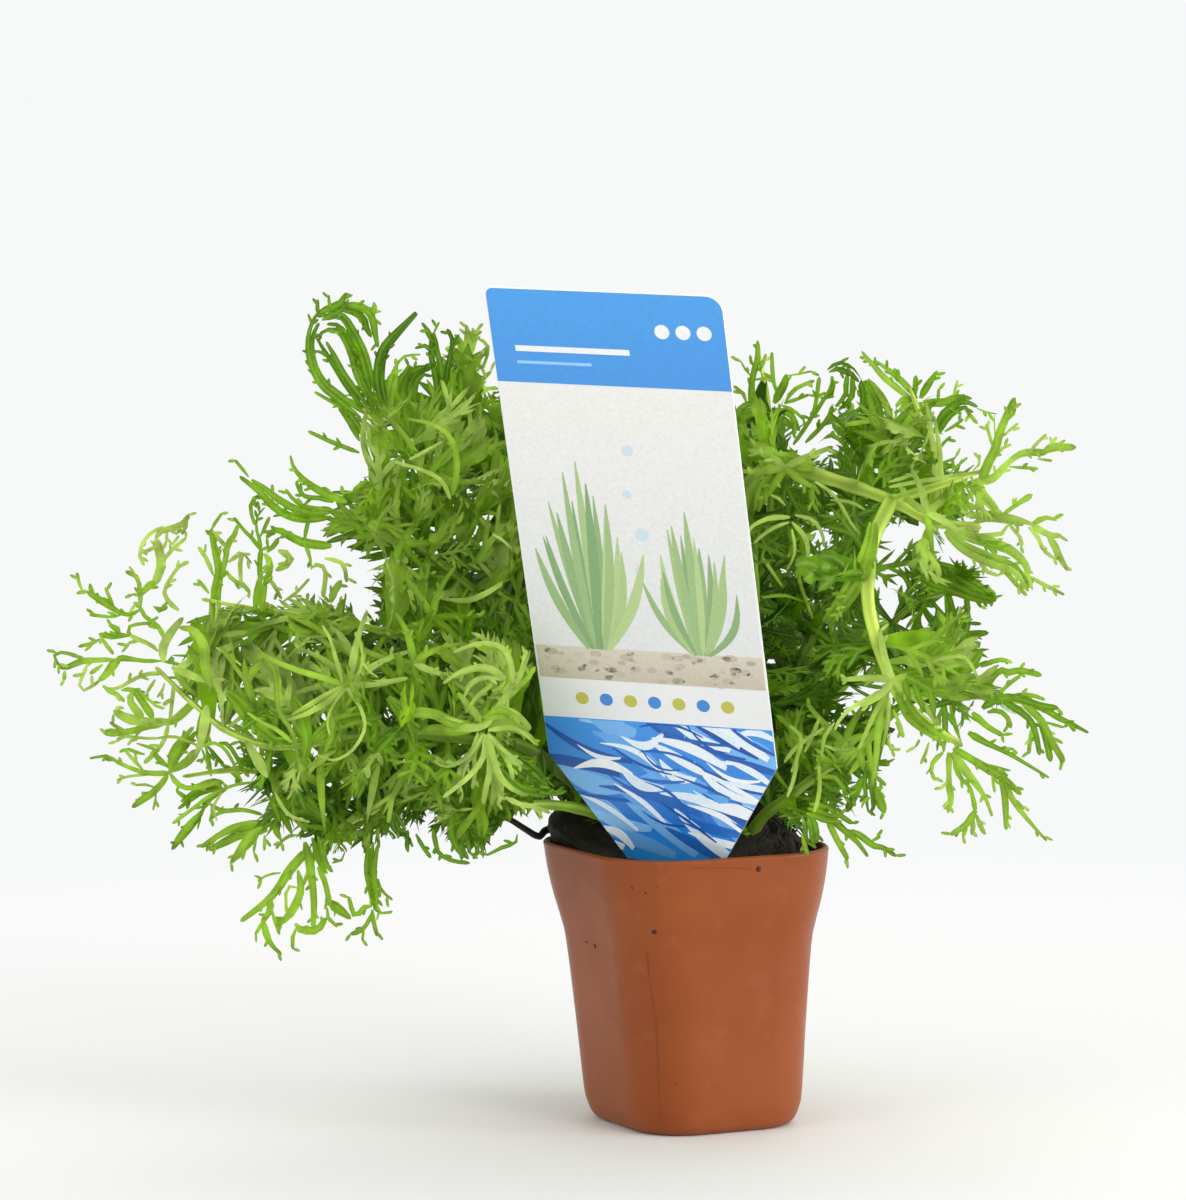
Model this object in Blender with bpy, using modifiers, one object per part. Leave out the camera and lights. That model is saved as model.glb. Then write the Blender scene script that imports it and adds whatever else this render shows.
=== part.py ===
"""A potted ambulia, a water plant grown out of water, with a plastic plant label. Metres, +Z up.

The origin is the middle of the pot's underside. The plant is seen from the front along +Y.
"""

import math

import bmesh
import bpy
from mathutils import Matrix, Vector
from mathutils.bvhtree import BVHTree

MM = 0.001
GAP = 0.3 * MM

# The pot: a rounded square in plan, turned so that one corner points almost to the front.
POT_TURN = math.radians(27)
POT_WALL = 1.2 * MM
POT_LEAN = -0.030
CORNER_SHARE = 0.30
CORNER_STEPS = 4
RIM_FLATS = 50 * MM
# Its size across the flats at each height, from the foot to the rim, in millimetres.
POT_LEVELS = (
    (32.0, 0.0), (35.2, 1.0), (37.2, 3.4), (38.4, 7.0), (40.6, 22.0), (43.0, 36.0), (44.6, 40.5),
    (47.0, 45.5), (48.8, 50.5), (50.0, 56.0),
)
DRAIN_HOLES = 4
DRAIN_RADIUS = 2.2 * MM
DRAIN_CIRCLE = 11 * MM
DRAIN_SIDES = 10

# The growing medium, which fills the pot and rises in a low dome behind the label.
MEDIUM_SLACK = 1.2 * MM
MEDIUM_HEIGHTS = (2.0, 5.0, 32.0, 45.0, 52.5)
# The dome's levels: the share of the rim's flats, the height and the set-back, in millimetres.
DOME_LEVELS = ((0.83, 55.5, 1.5), (0.68, 60.0, 5.0), (0.50, 62.5, 6.0))
SOCKET_DEEPER = 1.2 * MM
SOCKET_POINTS = 4

# The label: its foot is at the medium, and it leans forward with its right side nearer.
LABEL_FOOT = Vector((-4.2, -17, 57)) * MM
LABEL_YAW = math.radians(-20.9)
LABEL_LEAN = math.radians(23.3)
LABEL_ROLL = math.radians(1.5)
LABEL_WIDTH = 47.2 * MM
LABEL_TOP = 121.3 * MM
LABEL_SHOULDER = 19.9 * MM
LABEL_NECK_WIDTH = 23.4 * MM
LABEL_SPIKE = 19 * MM
# The spike keeps the neck's taper for a share of its length, then narrows to its tip.
SPIKE_TAPER_SHARE = 0.6
SPIKE_TIP_WIDTH = 3 * MM
LABEL_THICKNESS = 0.5 * MM
LABEL_CORNERS = (1.5 * MM, 3.2 * MM)
LABEL_CORNER_STEPS = 4
SLOT_GROW = 0.8 * MM

# Stems and leaves.
STEM_STEP = 8 * MM
ROUTE_FINENESS = 12
# A direction along a stem is read over this share of its length, before and after the place.
WAY_SHARE = 0.03
# A side stem starts where it is clear of its parent, and its next point is at least this far on.
FORK_SEARCH_STEPS = 100
FORK_FIRST_STEP = 1 * MM
LEAF_THICKNESS = 0.7 * MM
LEAF_BELLY = 0.10
LEAF_WIDEST = 0.45
LEAF_ARCH = math.radians(120)
HUB = 1.6 * MM
HUB_SIDES = 6
# A whorl's hole is wider than its stem by this factor and two gaps.
HOLE_FACTOR = 1.2
# Whorls that reach less than this, in millimetres, have fewer leaves.
SMALL_WHORL = 17
SMALL_WHORL_LEAVES = 6
LARGE_WHORL_LEAVES = 7
TURNS = 9
SHORTER = (1.0, 0.9, 0.8, 0.7, 0.6, 0.5, 0.4)

# Each stem: its radius at the foot and the tip, and the points of its route, in millimetres.
STEMS = {
    "stem_left_long": (1.7, 1.0, [
        (-13, -3, 46), (-17, -4, 61), (-25, -9, 70), (-34, -15, 77), (-44, -23, 79.5), (-57, -27, 81),
        (-70, -29, 80), (-82, -27, 78.5), (-91, -25, 81), (-98, -22, 86), (-105, -20, 92.5)]),
    "stem_left_low": (1.6, 1.0, [
        (-15, 2, 46), (-18, 3, 60), (-26, 2, 66), (-37, 0, 69), (-51, -3, 70), (-66, -7, 70),
        (-80, -11, 71), (-91, -13, 72), (-100, -14, 71)]),
    "stem_left_droop": (1.3, 0.9, [
        (-51, -3, 70), (-59, -9, 66), (-68, -13, 62), (-74, -15, 57), (-77, -15, 50)]),
    "stem_left_front": (1.3, 0.9, [
        (-9, -8, 46), (-14, -10, 59), (-22, -12, 64), (-33, -19, 66), (-46, -28, 66)]),
    "stem_left_star": (1.3, 0.9, [
        (-38, -18.5, 78), (-37.5, -24, 83.5), (-37, -29, 89.5)]),
    "stem_left_mid": (1.6, 0.9, [
        (-9, 4, 46), (-14, 6, 64), (-24, 4, 78), (-36, -1, 87), (-48, -6, 94), (-61, -10, 99),
        (-74, -13, 102), (-86, -15, 104), (-96, -16, 106)]),
    "stem_left_upper_low": (1.6, 0.9, [
        (-13, 10, 46), (-15, 14, 64), (-23, 15, 81), (-35, 12, 97), (-49, 6, 110), (-59, 1, 118),
        (-70, -3, 122)]),
    "stem_left_upper": (1.7, 1.0, [
        (-6, 12, 46), (-10, 20, 67), (-20, 24, 88), (-33, 23, 107), (-47, 18, 123), (-56, 13, 131),
        (-62, 10, 137), (-67, 8, 143)]),
    "stem_left_tall": (1.6, 0.9, [
        (-2, 7, 46), (-6, 20, 70), (-16, 32, 91), (-30, 38, 112), (-41, 38, 130), (-46, 36, 142),
        (-46, 34, 155)]),
    "stem_left_back": (1.6, 0.9, [
        (-8, 18, 46), (-12, 23, 62), (-21, 40, 73), (-35, 50, 80), (-52, 53, 85), (-68, 52, 89)]),
    "stem_right_thick": (2.1, 1.5, [
        (7, 3, 46), (9, 8, 67), (11, 6, 88), (11, 0, 108), (10, -8, 124), (15, -14, 132),
        (26, -19, 130), (38, -22, 126), (46, -23, 122), (54, -24, 121)]),
    "stem_right_out": (1.2, 0.9, [(38, -22, 126), (47, -25, 129), (55, -26, 132)]),
    "stem_right_rise": (1.4, 0.9, [(46, -23, 122), (47, -20, 131), (45, -18, 139), (42, -17, 147)]),
    "stem_right_vertical": (1.5, 0.9, [
        (4, 10, 46), (7, 20, 66), (12, 26, 88), (15, 24, 110), (16, 20, 129), (15, 17, 143),
        (13, 15, 153)]),
    "stem_right_top": (1.6, 0.9, [
        (9, 9, 46), (14, 17, 68), (21, 20, 88), (29, 18, 107), (34, 14, 123), (36, 10, 136),
        (34, 8, 145)]),
    "stem_right_down": (1.7, 1.1, [
        (38, -22, 126), (34, -28, 118), (33, -32, 108), (35, -32, 99), (39, -29, 89), (45, -28, 83),
        (51, -27, 79)]),
    "stem_right_side": (1.2, 0.9, [(39, -29, 89), (48, -25, 89), (57, -23, 88)]),
    "stem_right_low": (1.4, 0.9, [
        (8, -5, 46), (12, -8, 60), (20, -14, 68), (28, -19, 74), (34, -22, 74)]),
    "stem_right_mid": (1.5, 0.9, [
        (13, 10, 46), (15, 14, 58), (19, 22, 68), (27, 29, 79), (36, 28, 91), (44, 22, 101),
        (53, 18, 105)]),
    "stem_back_left": (1.5, 0.9, [
        (-2, 18, 46), (-4, 26, 64), (-10, 50, 76), (-21, 64, 90), (-27, 70, 106)]),
    "stem_back_right": (1.5, 0.9, [
        (6, 15, 46), (7, 25, 63), (10, 48, 77), (18, 60, 91), (23, 64, 106)]),
    "stem_back_low": (1.4, 0.9, [
        (3, 19, 46), (2, 25, 60), (0, 42, 66), (0, 58, 63), (-2, 70, 57)]),
}

# The stem that each side stem grows from.
FORKS = {
    "stem_left_droop": "stem_left_low",
    "stem_left_star": "stem_left_long",
    "stem_right_out": "stem_right_thick",
    "stem_right_rise": "stem_right_thick",
    "stem_right_down": "stem_right_thick",
    "stem_right_side": "stem_right_down",
}

# Each whorl: its stem, its place along it from 0 to 1, its leaves' reach in millimetres,
# and the share of that reach by which the leaves' tips rise along the stem.
WHORLS = [
    ("left_long", 0.66, 20, 0.2), ("left_long", 0.86, 21, 0.2), ("left_long", 1.0, 23, 0.5),
    ("left_low", 0.70, 18, 0.2), ("left_low", 0.86, 19, 0.2), ("left_low", 1.0, 18, 0.5),
    ("left_droop", 0.50, 16, 0.3), ("left_droop", 1.0, 18, 0.5),
    ("left_front", 1.0, 14, 0.4),
    ("left_star", 1.0, 14, 0.5),
    ("left_mid", 0.55, 18, 0.2), ("left_mid", 0.77, 19, 0.2), ("left_mid", 1.0, 20, 0.5),
    ("left_upper_low", 0.80, 19, 0.2), ("left_upper_low", 1.0, 21, 0.5),
    ("left_upper", 0.78, 20, 0.2), ("left_upper", 1.0, 22, 0.6),
    ("left_tall", 0.82, 18, 0.2), ("left_tall", 1.0, 10, 0.4),
    ("left_back", 1.0, 20, 0.5),
    ("right_thick", 0.58, 16, 0.2), ("right_thick", 1.0, 21, 0.5),
    ("right_out", 1.0, 20, 0.6),
    ("right_rise", 1.0, 15, 0.4),
    ("right_vertical", 1.0, 13, 0.4),
    ("right_top", 0.72, 19, 0.2), ("right_top", 1.0, 17, 0.4),
    ("right_down", 1.0, 22, 0.6),
    ("right_side", 1.0, 21, 0.6),
    ("right_low", 1.0, 15, 0.4),
    ("right_mid", 0.60, 18, 0.2), ("right_mid", 1.0, 18, 0.5),
    ("back_left", 1.0, 19, 0.4), ("back_right", 1.0, 19, 0.4), ("back_low", 1.0, 18, 0.5),
]


def clear_scene():
    for obj in list(bpy.data.objects):
        bpy.data.objects.remove(obj, do_unlink=True)


def collection(name):
    made = bpy.data.collections.new(name)
    bpy.context.scene.collection.children.link(made)
    return made


def material(name, color, roughness):
    made = bpy.data.materials.new(name)
    made.use_nodes = True
    shader = made.node_tree.nodes["Principled BSDF"]
    shader.inputs["Base Color"].default_value = (*color, 1.0)
    shader.inputs["Roughness"].default_value = roughness
    shader.inputs["Metallic"].default_value = 0.0
    made.diffuse_color = (*color, 1.0)
    return made


def add_object(name, data, where, surface=None):
    obj = bpy.data.objects.new(name, data)
    where.objects.link(obj)
    if surface:
        data.materials.append(surface)
    return obj


def curve_to_mesh(obj):
    """The mesh that a curve object evaluates to, with its loose caps welded on."""
    graph = bpy.context.evaluated_depsgraph_get()
    mesh = bpy.data.meshes.new_from_object(obj.evaluated_get(graph))
    shape = bmesh.new()
    shape.from_mesh(mesh)
    bmesh.ops.remove_doubles(shape, verts=shape.verts, dist=0.01 * MM)
    shape.to_mesh(mesh)
    shape.free()
    mesh.transform(obj.matrix_world)
    bpy.data.objects.remove(obj, do_unlink=True)
    return mesh


def outward(mesh):
    """Turns a closed mesh's faces outward."""
    shape = bmesh.new()
    shape.from_mesh(mesh)
    bmesh.ops.recalc_face_normals(shape, faces=shape.faces)
    shape.to_mesh(mesh)
    shape.free()


def rounded_square(flats, height, shift_y=0.0):
    """The points of one level of the pot, turned and leaning as the pot does."""
    radius = flats * CORNER_SHARE
    half = flats / 2 - radius
    points = []
    for quarter in range(4):
        middle = math.radians(45 + 90 * quarter)
        corner_x = math.copysign(half, math.cos(middle))
        corner_y = math.copysign(half, math.sin(middle))
        for step in range(CORNER_STEPS + 1):
            angle = math.radians(90) * (quarter + step / CORNER_STEPS)
            points.append((corner_x + radius * math.cos(angle), corner_y + radius * math.sin(angle)))
    turn = Matrix.Rotation(POT_TURN, 3, "Z")
    shift = Vector((POT_LEAN * height, shift_y, height))
    return [turn @ Vector((x, y, 0)) + shift for x, y in points]


def loft(levels, close_top):
    """A skin through rings of equal length, closed at the bottom and, if asked, at the top."""
    shape = bmesh.new()
    rings = [[shape.verts.new(point) for point in level] for level in levels]
    for low, high in zip(rings, rings[1:]):
        for index in range(len(low)):
            after = (index + 1) % len(low)
            shape.faces.new((low[index], low[after], high[after], high[index]))
    shape.faces.new(list(reversed(rings[0])))
    if close_top:
        shape.faces.new(rings[-1])
    mesh = bpy.data.meshes.new("loft")
    shape.to_mesh(mesh)
    shape.free()
    return mesh


def solidify(obj, thickness):
    modifier = obj.modifiers.new("wall", "SOLIDIFY")
    modifier.thickness = thickness
    modifier.offset = -1
    modifier.use_even_offset = True


def cut(obj, cutter):
    modifier = obj.modifiers.new("cut " + cutter.name, "BOOLEAN")
    modifier.operation = "DIFFERENCE"
    modifier.solver = "EXACT"
    modifier.object = cutter


def hide_cutter(obj):
    obj.hide_render = True
    obj.display_type = "WIRE"


def drain_cutter(name, where, centre):
    shape = bmesh.new()
    bmesh.ops.create_cone(
        shape, cap_ends=True, segments=DRAIN_SIDES, radius1=DRAIN_RADIUS, radius2=DRAIN_RADIUS,
        depth=4 * POT_WALL,
    )
    mesh = bpy.data.meshes.new(name)
    shape.to_mesh(mesh)
    shape.free()
    obj = add_object(name, mesh, where)
    obj.location = centre
    hide_cutter(obj)
    return obj


def pot_flats(height):
    """The pot's outer size across the flats at a height, both in millimetres."""
    for (low_flats, low), (high_flats, high) in zip(POT_LEVELS, POT_LEVELS[1:]):
        if height <= high:
            return low_flats + (high_flats - low_flats) * (height - low) / (high - low)
    return POT_LEVELS[-1][0]


def make_pot(parts, cutters):
    levels = [rounded_square(flats * MM, height * MM) for flats, height in POT_LEVELS]
    mesh = loft(levels, close_top=False)
    pot = add_object("pot", mesh, parts, material("terracotta_plastic", (0.38, 0.12, 0.05), 0.55))
    solidify(pot, POT_WALL)
    for index in range(DRAIN_HOLES):
        angle = POT_TURN + math.radians(45 + 90 * index)
        centre = Vector((math.cos(angle), math.sin(angle), 0)) * DRAIN_CIRCLE
        cut(pot, drain_cutter(f"drain_cutter_{index}", cutters, centre))


def make_medium(parts, cutters, routes):
    inset = 2 * (POT_WALL + GAP) + MEDIUM_SLACK
    levels = [rounded_square(pot_flats(height) * MM - inset, height * MM) for height in MEDIUM_HEIGHTS]
    levels += [
        rounded_square(share * RIM_FLATS, height * MM, back * MM) for share, height, back in DOME_LEVELS
    ]
    mesh = loft(levels, close_top=True)
    medium = add_object("growing_medium", mesh, parts, material("dark_fibre", (0.02, 0.016, 0.01), 0.95))
    for name, route in routes.items():
        if name in FORKS:
            continue
        radius = STEMS[name][0] * MM + 2 * GAP
        below = route[0] + (route[0] - route[1]).normalized() * SOCKET_DEEPER
        tube = make_tube("socket_cutter_" + name, [below] + route[:SOCKET_POINTS], radius, radius, cutters)
        bpy.context.view_layer.update()
        socket = add_object("socket_cutter_" + name, curve_to_mesh(tube), cutters)
        hide_cutter(socket)
        cut(medium, socket)
    slot_mesh = label_mesh("slot", SLOT_GROW, LABEL_THICKNESS + 2 * GAP)
    slot = add_object("label_slot_cutter", slot_mesh, cutters)
    hide_cutter(slot)
    cut(medium, slot)


def smooth_route(points):
    """Points a step apart on the smooth curve through a route's own points."""
    marks = [Vector(point) * MM for point in points]
    ends = [marks[0] * 2 - marks[1]] + marks + [marks[-1] * 2 - marks[-2]]
    fine = [marks[0]]
    for index in range(1, len(ends) - 2):
        before, start, end, after = ends[index - 1:index + 3]
        for part in range(1, ROUTE_FINENESS + 1):
            t = part / ROUTE_FINENESS
            fine.append(0.5 * (
                2 * start + (end - before) * t + (2 * before - 5 * start + 4 * end - after) * t ** 2
                + (3 * start - before - 3 * end + after) * t ** 3
            ))
    lengths = [0.0]
    for low, high in zip(fine, fine[1:]):
        lengths.append(lengths[-1] + (high - low).length)
    count = max(3, round(lengths[-1] / STEM_STEP))
    return [point_at(fine, lengths, index / count) for index in range(count + 1)]


def point_at(fine, lengths, share):
    want = share * lengths[-1]
    for index in range(1, len(fine)):
        if lengths[index] >= want - 1e-9:
            part = (want - lengths[index - 1]) / (lengths[index] - lengths[index - 1])
            return fine[index - 1].lerp(fine[index], part)
    return fine[-1]


def along(route, share):
    """The point and the direction at a share of a route."""
    lengths = [0.0]
    for low, high in zip(route, route[1:]):
        lengths.append(lengths[-1] + (high - low).length)
    here = point_at(route, lengths, share)
    ahead = point_at(route, lengths, min(1.0, share + WAY_SHARE))
    behind = point_at(route, lengths, max(0.0, share - WAY_SHARE))
    return here, (ahead - behind).normalized()


def distance_to_route(point, route):
    best = 1.0
    for low, high in zip(route, route[1:]):
        side = high - low
        share = max(0.0, min(1.0, (point - low).dot(side) / side.length_squared))
        best = min(best, (point - low - side * share).length)
    return best


def off_the_parent(name, routes):
    """A side stem's route, begun where it has come clear of the stem that it grows from."""
    route = routes[name]
    parent = FORKS[name]
    clear = STEMS[parent][0] * MM + STEMS[name][0] * MM + GAP
    lengths = [0.0]
    for low, high in zip(route, route[1:]):
        lengths.append(lengths[-1] + (high - low).length)
    for part in range(FORK_SEARCH_STEPS):
        share = part / FORK_SEARCH_STEPS
        start = point_at(route, lengths, share)
        if distance_to_route(start, routes[parent]) >= clear:
            gone = lengths[-1] * share + FORK_FIRST_STEP
            kept = [point for point, length in zip(route, lengths) if length > gone]
            return [start] + kept
    return route


def make_tube(name, route, radius, tip_radius, where, surface=None):
    data = bpy.data.curves.new(name, "CURVE")
    data.dimensions = "3D"
    data.bevel_depth = radius
    data.bevel_resolution = 1
    data.use_fill_caps = True
    spline = data.splines.new("POLY")
    spline.points.add(len(route) - 1)
    for index, place in enumerate(route):
        share = index / (len(route) - 1)
        spline.points[index].co = (*place, 1.0)
        spline.points[index].radius = 1 + (tip_radius / radius - 1) * share
    return add_object(name, data, where, surface)


def label_axes():
    """The label's across and upward directions."""
    turn = (
        Matrix.Rotation(LABEL_YAW, 3, "Z") @ Matrix.Rotation(LABEL_LEAN, 3, "X")
        @ Matrix.Rotation(LABEL_ROLL, 3, "Y")
    )
    return turn @ Vector((1, 0, 0)), turn @ Vector((0, 0, 1))


def label_outline(grow):
    """The label's outline, from the spike round by the right side, across and up."""
    half = LABEL_WIDTH / 2 + grow
    neck = LABEL_NECK_WIDTH / 2 + grow
    slope = (half - neck) / LABEL_SHOULDER
    low = -LABEL_SPIKE * SPIKE_TAPER_SHARE
    tip = SPIKE_TIP_WIDTH / 2
    points = [(-tip, -LABEL_SPIKE - grow), (tip, -LABEL_SPIKE - grow)]
    points += [(neck + slope * low, low), (neck, 0.0), (half, LABEL_SHOULDER)]
    left_radius, right_radius = LABEL_CORNERS
    for radius, side, first in ((right_radius, 1, 0), (left_radius, -1, 90)):
        centre = (side * (half - radius), LABEL_TOP + grow - radius)
        for step in range(LABEL_CORNER_STEPS + 1):
            angle = math.radians(first + 90 * step / LABEL_CORNER_STEPS)
            points.append((centre[0] + radius * math.cos(angle), centre[1] + radius * math.sin(angle)))
    points += [(-half, LABEL_SHOULDER), (-neck, 0.0), (-neck - slope * low, low)]
    return points


def label_mesh(name, grow, thickness):
    across, up = label_axes()
    data = bpy.data.curves.new(name, "CURVE")
    data.dimensions = "2D"
    data.fill_mode = "BOTH"
    data.extrude = thickness / 2
    fill_spline(data, label_outline(grow))
    obj = add_object(name + "_outline", data, bpy.context.scene.collection)
    facing = across.cross(up)
    turn = Matrix((across, up, facing)).transposed().to_4x4()
    obj.matrix_world = Matrix.Translation(LABEL_FOOT) @ turn
    bpy.context.view_layer.update()
    return curve_to_mesh(obj)


def fill_spline(data, outline):
    spline = data.splines.new("POLY")
    spline.points.add(len(outline) - 1)
    for point, (x, y) in zip(spline.points, outline):
        point.co = (x, y, 0.0, 1.0)
    spline.use_cyclic_u = True


def make_label(parts):
    mesh = label_mesh("label", 0.0, LABEL_THICKNESS)
    add_object("label", mesh, parts, material("printed_plastic", (0.25, 0.45, 0.8), 0.3))


def star_outline(arms, reach, hub, turn):
    """A star of pointed leaves round a hub, each leaf widest a little short of halfway out."""
    points = []
    for arm in range(arms):
        middle = turn + 2 * math.pi * arm / arms
        half_step = math.pi / arms
        belly = LEAF_BELLY * reach
        points.append((hub * math.cos(middle - half_step), hub * math.sin(middle - half_step)))
        for out, side in ((LEAF_WIDEST, -belly), (1.0, 0.0), (LEAF_WIDEST, belly)):
            along_arm = hub + (reach - hub) * out
            points.append((
                along_arm * math.cos(middle) - side * math.sin(middle),
                along_arm * math.sin(middle) + side * math.cos(middle),
            ))
    return points


def whorl_mesh(place, way, arms, reach, rise, hole, turn):
    """A whorl of leaves as one bent star, with a hole for the stem unless it ends the shoot."""
    data = bpy.data.curves.new("whorl", "CURVE")
    data.dimensions = "2D"
    data.fill_mode = "BOTH"
    data.extrude = LEAF_THICKNESS / 2
    fill_spline(data, star_outline(arms, reach, hole + HUB, turn))
    if hole:
        angles = [2 * math.pi * side / HUB_SIDES for side in range(HUB_SIDES)]
        fill_spline(data, [(hole * math.cos(angle), hole * math.sin(angle)) for angle in angles])
    obj = add_object("whorl_outline", data, bpy.context.scene.collection)
    bpy.context.view_layer.update()
    mesh = curve_to_mesh(obj)
    for vertex in mesh.vertices:
        out = math.hypot(vertex.co.x, vertex.co.y) / reach
        vertex.co.z += rise * reach * math.sin(min(1.0, out) * LEAF_ARCH) / math.sin(LEAF_ARCH)
    turned = Matrix.Translation(place) @ way.to_track_quat("Z", "Y").to_matrix().to_4x4()
    mesh.transform(turned)
    return mesh


def tree_of(mesh):
    return BVHTree.FromPolygons(
        [vertex.co.copy() for vertex in mesh.vertices], [tuple(face.vertices) for face in mesh.polygons]
    )


def make_whorl(name, whorl, routes, taken, parts, surface):
    """Turns a whorl, and shortens it if it must, until its leaves are clear of every other piece."""
    stem, share, reach, rise = whorl
    route = routes["stem_" + stem]
    foot_radius, tip_radius, _ = STEMS["stem_" + stem]
    place, way = along(route, share)
    last = share >= 1.0
    stem_radius = (foot_radius + (tip_radius - foot_radius) * share) * MM
    hole = 0.0 if last else stem_radius * HOLE_FACTOR + 2 * GAP
    if last:
        place = place + way * (LEAF_THICKNESS / 2 + GAP)
    arms = SMALL_WHORL_LEAVES if reach < SMALL_WHORL else LARGE_WHORL_LEAVES
    for shorter in SHORTER:
        for turn in range(TURNS):
            angle = 2 * math.pi / arms * turn / TURNS
            mesh = whorl_mesh(place, way, arms, reach * MM * shorter, rise, hole, angle)
            tree = tree_of(mesh)
            if not any(tree.overlap(other) for other in taken):
                taken.append(tree)
                outward(mesh)
                return add_object(name, mesh, parts, surface)
            bpy.data.meshes.remove(mesh)
    raise ValueError("no room for " + name)


def main():
    clear_scene()
    parts = collection("potted_ambulia")
    cutters = collection("cutters")
    whole_routes = {name: smooth_route(points) for name, (_, _, points) in STEMS.items()}
    make_pot(parts, cutters)
    make_medium(parts, cutters, whole_routes)
    make_label(parts)
    stem_surface = material("stem_green", (0.28, 0.46, 0.09), 0.5)
    for name in STEMS:
        route = off_the_parent(name, whole_routes) if name in FORKS else whole_routes[name]
        radius, tip_radius, _ = STEMS[name]
        make_tube(name, route, radius * MM, tip_radius * MM, parts, stem_surface)
    bpy.context.view_layer.update()
    graph = bpy.context.evaluated_depsgraph_get()
    taken = []
    for obj in list(parts.objects):
        evaluated = obj.evaluated_get(graph)
        mesh = evaluated.to_mesh()
        taken.append(tree_of(mesh))
        evaluated.to_mesh_clear()
    leaf_surface = material("leaf_green", (0.15, 0.38, 0.04), 0.5)
    counts = {}
    for whorl in WHORLS:
        stem = whorl[0]
        counts[stem] = counts.get(stem, 0) + 1
        make_whorl(f"leaves_{stem}_{counts[stem]}", whorl, whole_routes, taken, parts, leaf_surface)


main()
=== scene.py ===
import math
import random

import bmesh
import bpy
import numpy as np
from mathutils import Matrix, Vector, noise
from mathutils.bvhtree import BVHTree


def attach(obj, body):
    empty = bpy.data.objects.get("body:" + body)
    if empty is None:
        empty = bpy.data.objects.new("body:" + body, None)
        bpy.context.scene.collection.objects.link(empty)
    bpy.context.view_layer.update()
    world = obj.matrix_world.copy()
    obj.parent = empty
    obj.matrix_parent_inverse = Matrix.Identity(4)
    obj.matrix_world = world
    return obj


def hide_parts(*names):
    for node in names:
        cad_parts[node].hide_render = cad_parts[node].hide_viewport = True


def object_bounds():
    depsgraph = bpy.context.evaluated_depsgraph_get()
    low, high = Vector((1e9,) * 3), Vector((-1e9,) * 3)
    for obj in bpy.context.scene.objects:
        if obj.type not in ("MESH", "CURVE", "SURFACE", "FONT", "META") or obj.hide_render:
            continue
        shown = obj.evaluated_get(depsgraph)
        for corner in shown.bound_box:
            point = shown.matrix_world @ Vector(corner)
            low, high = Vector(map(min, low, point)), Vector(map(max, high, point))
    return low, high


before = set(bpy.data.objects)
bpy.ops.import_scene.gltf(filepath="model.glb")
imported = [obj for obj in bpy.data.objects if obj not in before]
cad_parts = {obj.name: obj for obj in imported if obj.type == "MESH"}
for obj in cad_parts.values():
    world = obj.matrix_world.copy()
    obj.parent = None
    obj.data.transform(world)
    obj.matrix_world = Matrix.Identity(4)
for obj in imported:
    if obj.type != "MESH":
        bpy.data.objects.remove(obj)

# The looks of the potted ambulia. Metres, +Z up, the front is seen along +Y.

MM = 0.001
UP = Vector((0, 0, 1))
cad_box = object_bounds()

# The camera stands in front and looks a little down. Its lens fits the photograph's scale.
CAMERA_PLACE = Vector((-20.1, -1200, 215.8)) * MM
CAMERA_PITCH = math.radians(5.30)
CAMERA_LENS = 181.95

# The pot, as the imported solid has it, in millimetres. A level has its size across the flats and
# its height.
POT_TURN = math.radians(27)
POT_WALL = 1.2
POT_LEAN = -0.030
CORNER_SHARE = 0.30
POT_LEVELS = [
    (32.0, 0.0), (35.2, 1.0), (37.2, 3.4), (38.4, 7.0), (40.6, 22.0), (43.0, 36.0), (44.6, 40.5),
    (47.0, 45.5), (48.8, 50.5), (50.0, 56.0),
]
POT_HEIGHT = POT_LEVELS[-1][1]
RIM_ROUNDING = 1.0
DRAIN_HOLES = 4
DRAIN_RADIUS = 2.2
DRAIN_CIRCLE = 11

# The label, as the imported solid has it: where it enters the medium, how it is turned, and its
# sizes in millimetres. The corners' radii are those of the left and the right one.
LABEL_FOOT = Vector((-4.2, -17, 57)) * MM
LABEL_TURN = (
    Matrix.Rotation(math.radians(-20.9), 3, "Z") @ Matrix.Rotation(math.radians(23.3), 3, "X")
    @ Matrix.Rotation(math.radians(1.5), 3, "Y")
)
LABEL_ACROSS = LABEL_TURN @ Vector((1, 0, 0))
LABEL_UPWARD = LABEL_TURN @ Vector((0, 0, 1))
LABEL_FACING = LABEL_ACROSS.cross(LABEL_UPWARD)
LABEL_WIDTH = 47.2
LABEL_TOP = 121.3
LABEL_SHOULDER = 19.9
LABEL_NECK = 23.4
LABEL_SPIKE = 19.0
SPIKE_TAPER_SHARE = 0.6
SPIKE_TIP_WIDTH = 3.0
LABEL_CORNERS = (1.5, 3.2)
LABEL_THICKNESS = 0.5

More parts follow.
